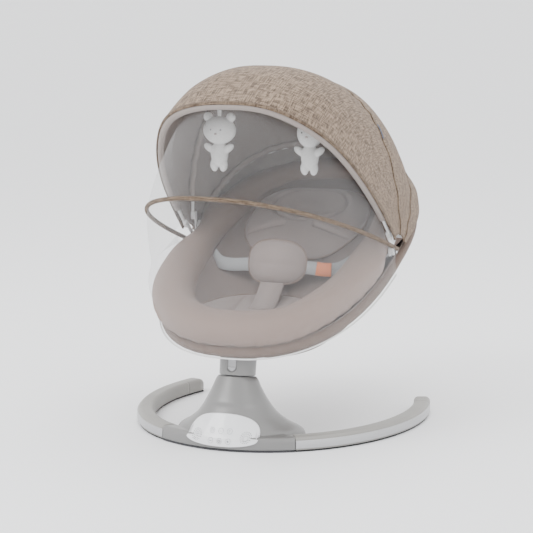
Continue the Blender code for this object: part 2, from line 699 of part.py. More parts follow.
def belly_point(turn, share):
    """The outer cloth: from the pole at its lowest point (0) up to the ring (1)."""
    edge = rim_point(turn, TUBE_OUT - TUBE_RADIUS - 0.0035, TUBE_DOWN + 0.003)
    flat = BELLY_POLE.lerp(edge, share)
    flat.z = edge.z - (edge.z - BELLY_POLE.z) * (1 - share ** BELLY_POWER)
    return flat


def make_cloth_shells():
    """The cradle's rolls, its outer cloth with the neck's opening, the sling and the seat pad."""
    body("front_rim_roll", skin(roll_rings(math.radians(9), math.radians(171), 25, ROLL_RADIUS)), "cradle_fabric")
    body("rear_rim_roll", skin(roll_rings(math.radians(189), math.radians(351), 19, ROLL_RADIUS * 0.9)),
         "cradle_fabric")

    bm = bmesh.new()
    shares = (1.0, 0.92, 0.78, 0.60, 0.40, 0.20)
    thickness = 0.0025
    turns = [math.tau * i / BELLY_SIDES for i in range(BELLY_SIDES)]
    outer = [[bm.verts.new(belly_point(t, s)) for t in turns] for s in shares]
    lift = Vector((0, 0, thickness))
    inner = [[bm.verts.new(belly_point(t, s * 0.985) + lift) for t in turns] for s in shares]
    poles = [bm.verts.new(BELLY_POLE), bm.verts.new(BELLY_POLE + lift)]
    for rows, pole in ((outer, poles[0]), (inner, poles[1])):
        for low, high in zip(rows, rows[1:]):
            for i in range(BELLY_SIDES):
                j = (i + 1) % BELLY_SIDES
                bm.faces.new((low[i], low[j], high[j], high[i]))
        for i in range(BELLY_SIDES):
            bm.faces.new((rows[-1][i], rows[-1][(i + 1) % BELLY_SIDES], pole))
    for i in range(BELLY_SIDES):
        j = (i + 1) % BELLY_SIDES
        bm.faces.new((outer[0][i], outer[0][j], inner[0][j], inner[0][i]))
    belly = body("belly_cover", bm, "belly_fabric")
    cut(belly, rod((0, 0, 0.01), (0, 0, 0.085), NECK_RADIUS + 0.0105, 28), NECK_FRAME)

    depths = spread(PAD_FRONT, PAD_BACK, 12)

    def sheet(drop, extra, inset_ends):
        rows = []
        for y in depths:
            inner_y = y + inset_ends * (1 if y < RING_Y else -1)
            half = max(0.02, rim_half_width(inner_y) - PAD_MARGIN + extra)
            rows.append([Vector((half * s, inner_y, pad_top(half * s, inner_y) - drop)) for s in spread(-1, 1, 11)])
        return rows

    body("seat_pad", slab(sheet(0.0, 0.0, 0.0), PAD_THICKNESS, True), "pad_fabric")
    body("seat_sling", slab(sheet(PAD_THICKNESS + 0.0035, -0.006, 0.008), 0.0020, True), "cradle_fabric")


def cushion(name, centre, half_x, half_y, thickness, finish, place, fullness=2.8):
    """A crowned closed pad: rings of a superellipse, lifted off its base by place(x, y, lift)."""
    bm = bmesh.new()
    sides = 22
    shares = (1.0, 0.85, 0.5)

    def ring(share, lift):
        row = []
        for i in range(sides):
            turn = math.tau * i / sides
            x = centre[0] + half_x * share * power(math.cos(turn), 2 / fullness)
            y = centre[1] + half_y * share * power(math.sin(turn), 2 / fullness)
            row.append(bm.verts.new(place(x, y, lift)))
        return row

    top = [ring(s, thickness * (0.35 + 0.65 * (1 - s ** 4))) for s in shares]
    bottom = [ring(s, 0.30 * thickness * s ** 6) for s in shares]
    peak = bm.verts.new(place(*centre, thickness))
    foot = bm.verts.new(place(*centre, 0.0))
    for rows, pole in ((top, peak), (bottom, foot)):
        for low, high in zip(rows, rows[1:]):
            for i in range(sides):
                j = (i + 1) % sides
                bm.faces.new((low[i], low[j], high[j], high[i]))
        for i in range(sides):
            bm.faces.new((rows[-1][i], rows[-1][(i + 1) % sides], pole))
    for i in range(sides):
        j = (i + 1) % sides
        bm.faces.new((top[0][i], top[0][j], bottom[0][j], bottom[0][i]))
    return body(name, bm, finish)


def strap(name, path, width, thickness, finish, across):
    """A flat webbing along points, its width along the given direction."""
    across = Vector(across).normalized()
    points = [Vector(p) for p in path]
    rings = []
    for i, here in enumerate(points):
        along = (points[min(i + 1, len(points) - 1)] - points[max(i - 1, 0)]).normalized()
        side = (across - along * across.dot(along)).normalized() * width / 2
        face = along.cross(side).normalized() * thickness / 2
        rings.append([here + side + face, here + side - face, here - side - face, here - side + face])
    return body(name, skin(rings), finish)


CROTCH_PAD_CENTRE = Vector((0.0, RING_Y - 0.052, 0.2975))
CROTCH_PAD_LEAN = math.radians(11)


def make_soft_parts():
    """Head cushion, crotch pad with its strap, waist straps, buckle and side pocket."""
    def lying(x, y, lift):
        return Vector((x, y, pad_top(x, y) + 0.0012 + lift))

    upright = Matrix.Translation(CROTCH_PAD_CENTRE) @ Matrix.Rotation(math.radians(90) - CROTCH_PAD_LEAN, 4, "X")

    def standing(x, y, lift):
        return upright @ Vector((x, y, lift))

    cushion("head_cushion", (0.0, RING_Y + 0.114), 0.116, 0.090, 0.030, "pad_fabric", lying)
    cushion("crotch_pad", (0.0, 0.0), 0.057, 0.041, 0.016, "pad_fabric", standing)
    y = RING_Y
    strap("crotch_strap", ((0, y - 0.150, 0.2125), (0, y - 0.125, 0.2200), (0, y - 0.098, 0.2330),
                           (0, y - 0.076, 0.2480)), 0.044, 0.0040, "pad_fabric", (1, 0, 0))
    body("buckle", box((-0.021, y - 0.0480, 0.2700), (0.021, y - 0.0380, 0.3060)), "white_plastic")
    for side, sign in (("right", 1), ("left", -1)):
        strap(f"{side}_waist_strap", (
            (sign * 0.0225, y - 0.0440, 0.289), (sign * 0.060, y - 0.0440, 0.291),
            (sign * 0.092, y - 0.0440, 0.295), (sign * 0.116, y - 0.0300, 0.308),
            (sign * 0.131, y - 0.0060, 0.328)), 0.024, 0.0016, "strap_webbing", (0, 0.25, 1))


# ---------------------------------------------------------------- hinges and bows

HUB_RADIUS = 0.0092
HINGE_LAYERS = {                # inner and outer X of each flat hinge piece
    "seat": (0.1930, 0.1962), "mid": (0.1967, 0.1987), "front": (0.1992, 0.2012), "net": (0.2017, 0.2040),
}
PIN_HOLE = 0.0030 + GAP
HINGE_BAR_HALF = 0.0042
SOCKET_HALF = 0.0047
HINGE_STACK = (0.18, 0.22)      # X range bored for the pin
REAR_ARM_ANGLE = REAR_BOW_ANGLE + 1.2
BOW_START = 0.048               # a bow's end, from the hinge axis
NET_START = 0.026


def hinge_bar(sign, angle, x_low, x_high, start, end, half_width=HINGE_BAR_HALF):
    """A flat bar of a hinge piece that leans by the angle, between two distances from the axis."""
    lean = math.radians(angle)
    direction = Vector((0, -math.cos(lean), math.sin(lean)))
    width = Vector((0, math.sin(lean), math.cos(lean))) * half_width
    rings = []
    for distance in (start, end):
        at = Vector((0, HINGE_Y, HINGE_Z)) + direction * distance
        rings.append([Vector((sign * x, *(at + width * w).yz))
                      for x, w in ((x_low, -1), (x_high, -1), (x_high, 1), (x_low, 1))])
    return skin(rings)


def hinge_disc(sign, x_low, x_high, radius, sides=24):
    """A disc about the hinge axis."""
    return rod((sign * x_low, HINGE_Y, HINGE_Z), (sign * x_high, HINGE_Y, HINGE_Z), radius, sides)


def add_hinge_arm(item, sign, layer, angle, length, socket_x):
    """Joins a flat arm to a bow: a hub on the hinge axis, a bar and the socket that holds the bow's end."""
    low, high = HINGE_LAYERS[layer]
    arm = body(item.name + "_arm", hinge_disc(sign, low, high, HUB_RADIUS), None, cutter=True)
    join(arm, hinge_bar(sign, angle, low + 0.0001, high - 0.0001, 0.006, length))
    join(arm, hinge_bar(sign, angle, low + 0.0005, socket_x, length - 0.014, length - 0.0005, SOCKET_HALF))
    cut(arm, hinge_disc(sign, HINGE_STACK[0], HINGE_STACK[1], PIN_HOLE, 16))
    boolean(item, arm, "UNION")


def make_hinges():
    """The fixed parts of both hinge stacks: the plate, which also holds the rear bow's end, and the pin."""
    tube_top = rim_point(0.0, TUBE_OUT, TUBE_DOWN).z + TUBE_RADIUS
    low, high = HINGE_LAYERS["seat"]
    for side, sign in (("right", 1), ("left", -1)):
        plate = body(f"{side}_hinge_plate", hinge_disc(sign, low, high, HUB_RADIUS + 0.002), "white_plastic")
        near, far = sorted((sign * (low + 0.0002), sign * (high - 0.0002)))
        join(plate, box((near, HINGE_Y - 0.0085, tube_top + 0.0006), (far, HINGE_Y + 0.0085, HINGE_Z)))
        join(plate, hinge_bar(sign, REAR_ARM_ANGLE, low + 0.0005, high - 0.0005, 0.006, BOW_START - 0.002))
        join(plate, hinge_bar(sign, REAR_ARM_ANGLE, low + 0.0009, 0.2085, 0.036, BOW_START - 0.0006, SOCKET_HALF))
        cut(plate, hinge_disc(sign, HINGE_STACK[0], HINGE_STACK[1], PIN_HOLE, 16))
        pin = body(f"{side}_hinge_pin", hinge_disc(sign, low - 0.0015, 0.2060, PIN_HOLE - GAP, 16), "steel")
        join(pin, hinge_disc(sign, 0.2045, 0.2062, 0.0052, 16))


def bow(name, angle, inset, finish):
    """A round bow from hinge arm to hinge arm, just under the hood's skin."""
    start = turn_at(BOW_START, between(HOOD_REACH, angle) - inset, HOOD_FULLNESS)
    points = [hood_point(angle, turn, inset) for turn in spread(start, math.pi - start, 23)]
    return as_mesh(tube(name, points, BOW_RADIUS, finish))


def hood_panel(name, start, end, rows, inset, first_turn, finish="melange_fabric"):
    """A stretch of the hood's cloth between two angles."""
    grid = [[hood_point(a, t, inset) for t in spread(first_turn, math.pi - first_turn, 23)]
            for a in spread(start, end, rows)]
    return body(name, slab([list(reversed(row)) for row in grid], HOOD_THICKNESS), finish)


def make_hood():
    """Three bows with the cloth stretched over them; the rear stretch is fixed to the cradle."""
    under = HOOD_THICKNESS + BOW_RADIUS + 0.0034
    front = bow("front_bow", FRONT_BOW_ANGLE + 0.6, under, "white_plastic")
    middle = bow("mid_bow", MID_BOW_ANGLE, under + 0.0008, "white_plastic")
    for sign in (1, -1):
        add_hinge_arm(front, sign, "front", FRONT_BOW_ANGLE + 0.6, 0.062, 0.2060)
        add_hinge_arm(middle, sign, "mid", MID_BOW_ANGLE, 0.056, 0.2055)
    bow("rear_bow", REAR_ARM_ANGLE, under + 0.0014, "white_plastic")
    hood_panel("hood_front_cloth", FRONT_BOW_ANGLE, MID_BOW_ANGLE - 0.4, 6, 0.0, math.radians(3.5))
    hood_panel("hood_mid_cloth", MID_BOW_ANGLE + 0.4, REAR_BOW_ANGLE - 0.4, 6, 0.0008, math.radians(3.5))
    hood_panel("hood_rear_cloth", REAR_BOW_ANGLE + 0.4, HOOD_END_ANGLE, 5, 0.0012, math.radians(3.5))


NET_COLUMNS = 21
NET_TOP_ANGLE = 44.0            # where the net is sewn inside the hood
NET_TOP_HALF_WIDTH = 0.1985
NET_HEM_OUT, NET_HEM_DOWN = 0.0375, 0.0375
NET_SIDE_TURN = math.radians(4)
UPPER_NET_SIDE_TURN = math.radians(9)


def make_net():
    """The hoop of the insect net, the net above it to the hood and below it to its elastic hem."""
    start = turn_at(NET_START, between(NET_REACH, NET_HOOP_ANGLE), NET_FULLNESS)
    hoop = [net_point(NET_HOOP_ANGLE, t) for t in spread(start, math.pi - start, 25)]
    net_hoop = as_mesh(tube("net_hoop", hoop, NET_HOOP_RADIUS, "melange_fabric"))
    for sign in (1, -1):
        add_hinge_arm(net_hoop, sign, "net", NET_HOOP_ANGLE, 0.034, 0.2120)

    lean = math.radians(NET_HOOP_ANGLE)
    clear = Vector((0, math.sin(lean), math.cos(lean))) * (NET_HOOP_RADIUS + 2 * GAP)

    upper_turns = spread(math.pi - UPPER_NET_SIDE_TURN, UPPER_NET_SIDE_TURN, NET_COLUMNS)
    upper = [[net_point(NET_HOOP_ANGLE, t) + clear for t in upper_turns]]
    for angle in (23, 30, 37, NET_TOP_ANGLE):
        share = (angle - NET_HOOP_ANGLE) / (NET_TOP_ANGLE - NET_HOOP_ANGLE)
        half = NET_HALF_WIDTH + (NET_TOP_HALF_WIDTH - NET_HALF_WIDTH) * share
        upper.append([net_point(angle, t, 0.0, half) for t in upper_turns])
    body("upper_net", slab(upper, NET_THICKNESS), "net_mesh")

    turns = spread(NET_SIDE_TURN, math.pi - NET_SIDE_TURN, NET_COLUMNS)
    lower = [[net_point(NET_HOOP_ANGLE, t) - clear for t in turns]]
    lower += [[net_point(angle, t) for t in turns] for angle in (8, 0)]
    lower.append([rim_point(t, 0.040 + 0.012 * math.sin(t) ** 2, -0.020 - 0.045 * math.sin(t)) for t in turns])
    for out, down in ((0.0395, -0.004), (0.0385, 0.016), (0.0380, 0.034)):
        lower.append([rim_point(t, out, down) for t in turns])
    body("lower_net", slab(lower, NET_THICKNESS), "net_mesh")
    hem = [rim_point(t, NET_HEM_OUT, NET_HEM_DOWN) for t in spread(NET_SIDE_TURN, math.pi - NET_SIDE_TURN, 25)]
    tube("net_elastic_hem", hem, 0.0018, "dark_plastic")


def make_toys():
    """Two plush toys that hang from ribbons under the hood."""
    for side, sign in (("right", 1), ("left", -1)):
        x, y = sign * TOY_X, TOY_Y
        neck, feet = TOY_TOP - 0.058, TOY_TOP - 0.106
        toy = body(f"{side}_toy", ball((x, y, TOY_TOP - 0.0315), (0.0350, 0.0220, 0.0295), 12, 8), "plush")
        join(toy, ball((x, y, (neck + feet) / 2 + 0.008), (0.0185, 0.0145, 0.0260), 10, 6))
        join(toy, box((x - 0.004, y - 0.0006, TOY_TOP - 0.0030), (x + 0.004, y + 0.0006, TOY_HANG)))
        for k in (1, -1):
            join(toy, ball((x + k * 0.0240, y, TOY_TOP - 0.0085), (0.0095, 0.0060, 0.0090), 8, 5))
            join(toy, ball((x + k * 0.0200, y - 0.002, neck - 0.0080), (0.0105, 0.0065, 0.0060), 8, 5))
            join(toy, ball((x + k * 0.0085, y - 0.002, feet + 0.0070), (0.0070, 0.0075, 0.0120), 8, 5))


# ---------------------------------------------------------------- assembly

NECK_MATRIX = Matrix.Translation((0, NECK_Y, NECK_Z)) @ Matrix.Rotation(-NECK_TILT, 4, "X")
NECK_FRAME = empty("swing_axis", (0, NECK_Y, NECK_Z), Matrix.Rotation(-NECK_TILT, 4, "X"))
PINION_JOINT = empty("pinion_axis", (SWING_PITCH_RADIUS + PINION_PITCH_RADIUS, 0, GEAR_LEVEL), parent=NECK_FRAME)
PANEL_FRAME = empty("panel_frame", PANEL_CENTRE, Matrix.Rotation(math.radians(90) - PANEL_LEAN, 4, "X"))
bpy.context.view_layer.update()

make_shell()
make_panel()
make_arms()
make_bottom()
make_drive()
make_neck()
make_release()
make_frame()
make_cloth_shells()
make_soft_parts()
make_hinges()
make_hood()
make_net()
make_toys()

RECLINE_JOINT = empty("recline_axis", NECK_MATRIX @ Vector((0, 0, PIN_LEVEL)))
HOOD_JOINT = empty("hood_axis", (0, HINGE_Y, HINGE_Z))
TOY_JOINTS = {side: empty(f"{side}_toy_axis", (sign * TOY_X, TOY_Y, TOY_HANG))
              for side, sign in (("right", 1), ("left", -1))}
bpy.context.view_layer.update()
hang_on(HOOD_JOINT, ("mid_bow", "hood_mid_cloth", "front_bow", "hood_front_cloth",
                     "net_hoop", "upper_net", "lower_net", "net_elastic_hem"))
for toy_side, toy_joint in TOY_JOINTS.items():
    hang_on(toy_joint, (f"{toy_side}_toy",))
hang_on(RECLINE_JOINT, (
    "seat_ring_tube", "seat_bracket", "recline_pin", "front_rim_roll", "rear_rim_roll", "belly_cover",
    "seat_pad", "seat_sling", "head_cushion", "crotch_pad", "crotch_strap", "buckle", "right_waist_strap",
    "left_waist_strap", "right_hinge_plate", "left_hinge_plate", "right_hinge_pin", "left_hinge_pin",
    "rear_bow", "hood_rear_cloth"))
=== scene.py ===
"""The electric baby swing as it looks: a silver horseshoe base, a leaning neck, a padded cradle,
a melange canopy on three bows, an insect net and two plush toys."""

import math

import bmesh
import bpy
import numpy as np
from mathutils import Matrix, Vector


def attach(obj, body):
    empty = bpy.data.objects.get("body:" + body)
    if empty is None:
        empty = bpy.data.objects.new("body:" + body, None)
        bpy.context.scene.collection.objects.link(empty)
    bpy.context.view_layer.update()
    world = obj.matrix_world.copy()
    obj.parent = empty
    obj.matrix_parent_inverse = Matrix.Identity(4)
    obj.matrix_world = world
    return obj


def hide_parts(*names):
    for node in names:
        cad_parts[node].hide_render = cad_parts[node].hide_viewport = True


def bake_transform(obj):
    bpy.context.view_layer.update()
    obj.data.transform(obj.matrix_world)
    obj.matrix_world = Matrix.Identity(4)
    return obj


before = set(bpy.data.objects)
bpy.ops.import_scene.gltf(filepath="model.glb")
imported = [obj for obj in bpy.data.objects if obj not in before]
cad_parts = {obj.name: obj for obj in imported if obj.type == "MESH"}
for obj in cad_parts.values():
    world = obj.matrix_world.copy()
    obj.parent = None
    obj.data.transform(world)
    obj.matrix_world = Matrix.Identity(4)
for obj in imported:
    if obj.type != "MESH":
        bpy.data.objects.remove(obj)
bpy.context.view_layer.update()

# ---------------------------------------------------------------- camera and studio
# The swing is seen from the front, a little from its right and from just above the cradle.
# It stands on a pale floor between three large soft lamps.

RING_Y = 0.0231                     # depth of the base ring's centre
CAMERA_AZIMUTH, CAMERA_ELEVATION = math.radians(21.15), math.radians(8.81)
CAMERA_DISTANCE, CAMERA_LENS = 4.0, 143.1
target = Vector((-0.0384, RING_Y, 0.2794))
back = Vector((math.sin(CAMERA_AZIMUTH) * math.cos(CAMERA_ELEVATION),
               -math.cos(CAMERA_AZIMUTH) * math.cos(CAMERA_ELEVATION), math.sin(CAMERA_ELEVATION)))
camera = bpy.data.objects.new("camera", bpy.data.cameras.new("camera"))
camera.data.sensor_width = 36.0
camera.data.lens = CAMERA_LENS
camera.location = target + back * CAMERA_DISTANCE
camera.rotation_euler = (-back).to_track_quat("-Z", "Y").to_euler()
bpy.context.scene.collection.objects.link(camera)
bpy.context.scene.camera = camera

world = bpy.data.worlds.new("studio")
bpy.context.scene.world = world
world.use_nodes = True
world.node_tree.nodes["Background"].inputs["Color"].default_value = (1.0, 1.0, 1.0, 1.0)
world.node_tree.nodes["Background"].inputs["Strength"].default_value = 1.9


def soft_lamp(name, place, size, power, colour=(1.0, 1.0, 1.0)):
    """A square area lamp that points at the cradle."""
    data = bpy.data.lights.new(name, "AREA")
    data.size, data.energy, data.color = size, power, colour
    lamp = bpy.data.objects.new(name, data)
    lamp.location = place
    lamp.rotation_euler = (Vector((0, 0, 0.35)) - Vector(place)).to_track_quat("-Z", "Y").to_euler()
    bpy.context.scene.collection.objects.link(lamp)


soft_lamp("key", (-1.5, -1.9, 2.4), 1.6, 50)
soft_lamp("fill", (2.4, -1.6, 1.3), 2.0, 14)
soft_lamp("top", (0.2, 0.7, 2.8), 2.2, 34)

floor_mesh = bpy.data.meshes.new("floor")
REACH = 30.0
floor_mesh.from_pydata([(-REACH, -REACH, 0), (REACH, -REACH, 0), (REACH, REACH, 0), (-REACH, REACH, 0)],
                       [], [(0, 1, 2, 3)])
floor = bpy.data.objects.new("floor", floor_mesh)
bpy.context.scene.collection.objects.link(floor)
floor_finish = bpy.data.materials.new("pale_floor")
floor_finish.use_nodes = True
floor_shader = floor_finish.node_tree.nodes["Principled BSDF"]
floor_shader.inputs["Base Color"].default_value = (0.93, 0.94, 0.96, 1.0)
floor_shader.inputs["Roughness"].default_value = 0.6
floor_mesh.materials.append(floor_finish)


# ---------------------------------------------------------------- base ring
# Two hollow moulded arms run back from the pedestal in a horseshoe.  Each has a bright brushed strip
# set into its outer side, a separate end cap and a dark rubber grip strip pressed in below.

RING_HALF_WIDTH, RING_HALF_DEPTH = 0.270, 0.327
ARM_WIDTH, ARM_TOP = 0.032, 0.027
SEAM_ANGLE, CAP_ANGLE, END_ANGLE = math.radians(61.7), math.radians(-14.5), math.radians(-25.0)


def surface(name, grid, wrap_rows=False, wrap_columns=False, keep=None):
    """A mesh object from a grid of points (rows, columns, 3), quads between neighbours.  Its UV map
    holds the mean distance along the columns and the rows, in metres.  keep is a mask of quads."""
    rows, columns = grid.shape[:2]
    i = np.arange(rows if wrap_rows else rows - 1)[:, None]
    j = np.arange(columns if wrap_columns else columns - 1)[None, :]
    i2, j2 = (i + 1) % rows, (j + 1) % columns
    faces = np.stack([i * columns + j, i * columns + j2, i2 * columns + j2, i2 * columns + j], -1)
    looped_columns = np.concatenate([grid, grid[:, :1]], 1)
    looped_rows = np.concatenate([grid, grid[:1]], 0)
    across = np.linalg.norm(np.diff(looped_columns, axis=1), axis=2).mean(0)
    along = np.linalg.norm(np.diff(looped_rows, axis=0), axis=2).mean(1)
    u = np.concatenate([[0.0], np.cumsum(across)])
    v = np.concatenate([[0.0], np.cumsum(along)])
    corners = np.stack([np.broadcast_arrays(u[j + a], v[i + b]) for a, b in ((0, 0), (1, 0), (1, 1), (0, 1))])
    corners = corners.transpose(2, 3, 0, 1)
    if keep is not None:
        faces, corners = faces[keep], corners[keep]
    faces, corners = faces.reshape(-1, 4), corners.reshape(-1, 2)
    mesh = bpy.data.meshes.new(name)
    mesh.from_pydata(grid.reshape(-1, 3).tolist(), [], faces.tolist())
    layer = mesh.uv_layers.new(name="cloth")
    layer.data.foreach_set("uv", corners.reshape(-1).astype(np.float32))
    mesh.shade_smooth()
    mesh.update()
    piece = bpy.data.objects.new(name, mesh)
    bpy.context.scene.collection.objects.link(piece)
    return piece


def close_ends(piece):
    """Caps every open loop of a mesh and turns its faces outwards."""
    bm = bmesh.new()
    bm.from_mesh(piece.data)
    bmesh.ops.holes_fill(bm, edges=[edge for edge in bm.edges if edge.is_boundary])
    bmesh.ops.recalc_face_normals(bm, faces=bm.faces)
    bm.to_mesh(piece.data)
    bm.free()
    return piece


def dress(piece, finish, body, slot, *nodes):
    """Gives a piece its material and its body, and hides the nodes that it stands for; the slot is not used.
    """
    piece.data.materials.append(finish)
    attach(piece, body)
    if nodes:
        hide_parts(*nodes)
    return piece


def node_group(name, inputs, outputs):
    """An empty shader group with named sockets, its tree and its two end nodes."""
    group = bpy.data.node_groups.new(name, "ShaderNodeTree")
    for label, kind, value in inputs:
        socket = group.interface.new_socket(label, in_out="INPUT", socket_type=kind)
        if value is not None:
            socket.default_value = value
    for label, kind in outputs:
        group.interface.new_socket(label, in_out="OUTPUT", socket_type=kind)
    return group, group.nodes.new("NodeGroupInput"), group.nodes.new("NodeGroupOutput")


def maths(tree, operation, first, second=None):
    """A Math node whose inputs are sockets or numbers."""
    node = tree.nodes.new("ShaderNodeMath")
    node.operation = operation
    for socket, value in zip(node.inputs, (first, second)):
        if isinstance(value, bpy.types.NodeSocket):
            tree.links.new(value, socket)
        elif value is not None:
            socket.default_value = value
    return node.outputs[0]


def noise(tree, vector, scale, detail=2.0, stretch=(1.0, 1.0, 1.0)):
    """A noise texture on a stretched vector."""
    mapping = tree.nodes.new("ShaderNodeMapping")
    mapping.inputs["Scale"].default_value = stretch
    tree.links.new(vector, mapping.inputs["Vector"])
    node = tree.nodes.new("ShaderNodeTexNoise")
    node.inputs["Scale"].default_value = scale
    node.inputs["Detail"].default_value = detail
    tree.links.new(mapping.outputs[0], node.inputs["Vector"])
    return node.outputs["Fac"]


def mix_colour(tree, share, first, second):
    """A colour between two others; each is a socket or a colour."""
    node = tree.nodes.new("ShaderNodeMix")
    node.data_type = "RGBA"
    for socket, value in ((node.inputs[0], share), (node.inputs[6], first), (node.inputs[7], second)):
        if isinstance(value, bpy.types.NodeSocket):
            tree.links.new(value, socket)
        else:
            socket.default_value = value if isinstance(value, float) else (*value, 1.0)
    return node.outputs[2]


def moulded_group():
    """Fine spark-eroded grain: small bumps, and a faint change of tone and gloss over the surface."""
    group, start, end = node_group(
        "moulded grain",
        [("Vector", "NodeSocketVector", None), ("Colour", "NodeSocketColor", (0.5, 0.5, 0.5, 1.0)),
         ("Roughness", "NodeSocketFloat", 0.4)],
        [("Colour", "NodeSocketColor"), ("Roughness", "NodeSocketFloat"), ("Height", "NodeSocketFloat")])
    vector = start.outputs["Vector"]
    grain = noise(group, vector, 2600.0, 1.0)
    cloud = noise(group, vector, 9.0, 3.0)
    share = maths(group, "MULTIPLY", maths(group, "SUBTRACT", cloud, 0.42), 0.35)
    dim = maths(group, "MAXIMUM", share, 0.0)
    group.links.new(mix_colour(group, dim, start.outputs["Colour"], (0.0, 0.0, 0.0)),
                    end.inputs["Colour"])
    change = maths(group, "MULTIPLY", maths(group, "SUBTRACT", cloud, 0.5), 0.14)
    group.links.new(maths(group, "ADD", start.outputs["Roughness"], change), end.inputs["Roughness"])
    group.links.new(grain, end.inputs["Height"])
    return group


MOULDED = moulded_group()


def moulded(name, colour, roughness, metallic=0.0, coat=0.0, bump=0.00004):
    """A moulded plastic or cast finish from the grain group."""
    material = bpy.data.materials.new(name)
    material.use_nodes = True
    tree = material.node_tree
    shader = tree.nodes["Principled BSDF"]
    shader.inputs["Metallic"].default_value = metallic
    shader.inputs["Coat Weight"].default_value = coat
    shader.inputs["Coat Roughness"].default_value = 0.08
    place = tree.nodes.new("ShaderNodeTexCoord")
    group = tree.nodes.new("ShaderNodeGroup")
    group.node_tree = MOULDED
    group.inputs["Colour"].default_value = (*colour, 1.0)
    group.inputs["Roughness"].default_value = roughness
    tree.links.new(place.outputs["Object"], group.inputs["Vector"])
    tree.links.new(group.outputs["Colour"], shader.inputs["Base Color"])
    tree.links.new(group.outputs["Roughness"], shader.inputs["Roughness"])
    raised = tree.nodes.new("ShaderNodeBump")
    raised.inputs["Distance"].default_value = bump
    tree.links.new(group.outputs["Height"], raised.inputs["Height"])
    tree.links.new(raised.outputs["Normal"], shader.inputs["Normal"])
    return material


def brushed(name, colour, roughness):
    """Metal brushed along the piece: fine streaks that follow the UV map's second direction."""
    material = bpy.data.materials.new(name)
    material.use_nodes = True
    tree = material.node_tree
    shader = tree.nodes["Principled BSDF"]
    shader.inputs["Metallic"].default_value = 0.85
    place = tree.nodes.new("ShaderNodeTexCoord")
    streaks = noise(tree, place.outputs["UV"], 1.0, 3.0, (2600.0, 14.0, 1.0))
    dim = tuple(c * 0.82 for c in colour)
    tree.links.new(mix_colour(tree, streaks, dim, colour), shader.inputs["Base Color"])
    tree.links.new(maths(tree, "ADD", maths(tree, "MULTIPLY", streaks, 0.22), roughness - 0.11),
                   shader.inputs["Roughness"])
    return material


silver = moulded("satin_silver", (0.205, 0.203, 0.200), 0.36, 0.25, 0.15)
arm_grey = moulded("warm_grey_moulding", (0.27, 0.262, 0.245), 0.42, 0.05)
bright_strip = brushed("brushed_strip", (0.50, 0.50, 0.51), 0.30)
dark = moulded("dark_moulding", (0.035, 0.035, 0.04), 0.55)
rubber = moulded("grip_rubber", (0.022, 0.022, 0.024), 0.80, bump=0.0001)


def ring_points(angle, inset, height):
    """Points of the base ring: its outer ellipse moved inwards along its normal."""
    c, s = np.cos(angle), np.sin(angle)
    normal = np.stack([RING_HALF_DEPTH * c, -RING_HALF_WIDTH * s], -1)
    normal /= np.linalg.norm(normal, axis=-1, keepdims=True)
    x = RING_HALF_WIDTH * c - normal[..., 0] * inset
    y = RING_Y - RING_HALF_DEPTH * s - normal[..., 1] * inset
    return np.stack([x, y, np.broadcast_to(height, x.shape)], -1)


def rounded_section(low, high, near, far, corner, steps=7, foot=0.0015):
    """Inset and height round a section with large rounded corners at the top and small ones below."""
    quarter = np.linspace(0, np.pi / 2, steps)
    parts = [(near + corner - corner * np.cos(quarter), high - corner + corner * np.sin(quarter)),
             (far - corner + corner * np.sin(quarter), high - corner + corner * np.cos(quarter)),
             (far - foot + foot * np.cos(quarter), low + foot - foot * np.sin(quarter)),
             (near + foot - foot * np.sin(quarter), low + foot - foot * np.cos(quarter))]
    return np.concatenate([part[0] for part in parts]), np.concatenate([part[1] for part in parts])


def arm_sweep(name, start, end, section, count=120, shrink_end=0.0):
    """A section carried along the ring; near its end it draws in like a rounded nose."""
    angle = np.linspace(start, end, count)[:, None]
    inset, height = section
    left = np.clip((np.abs(angle - end)) / max(shrink_end, 1e-6), 0, 1)
    size = np.sqrt(1 - (1 - left) ** 2) if shrink_end else np.ones_like(angle)
    middle = (inset.max() + inset.min()) / 2
    inset = middle + (inset - middle) * (0.25 + 0.75 * size)
    height = height.min() + (height - height.min()) * (0.45 + 0.55 * size)
    return surface(name, ring_points(np.broadcast_to(angle, inset.shape), inset, height), wrap_columns=True)


slack = 0.0016
for side, mirror in (("right", False), ("left", True)):
    def turned(angle):
        return math.pi - angle if mirror else angle

    body_section = rounded_section(0.0034, ARM_TOP, 0.0010, ARM_WIDTH, 0.0085)
    arm = arm_sweep(f"{side}_arm_skin", turned(SEAM_ANGLE - slack), turned(CAP_ANGLE + slack), body_section)
    dress(close_ends(arm), arm_grey, "base", "arm_plastic", f"{side}_arm")
    strip_section = rounded_section(0.0062, 0.0208, -0.0004, 0.0030, 0.0012, 4, 0.0010)
    strip = arm_sweep(f"{side}_arm_strip", turned(SEAM_ANGLE - slack), turned(CAP_ANGLE + slack),
                      strip_section)
    dress(close_ends(strip), bright_strip, "base", "brushed_silver", f"{side}_arm_trim")
    cap = arm_sweep(f"{side}_end_cap", turned(CAP_ANGLE - slack), turned(END_ANGLE), body_section, 40, 0.07)
    dress(close_ends(cap), arm_grey, "base", "arm_plastic", f"{side}_arm_cap")
    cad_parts[f"{side}_grip_strip"].data.materials.clear()
    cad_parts[f"{side}_grip_strip"].data.materials.append(rubber)


# ---------------------------------------------------------------- pedestal and panel
# The pedestal is one silver moulding that grows out of the ring and rises to the neck.  A glossy white
# D-shaped fascia lies in its front, with six soft keys, printed marks and two fields of speaker holes.

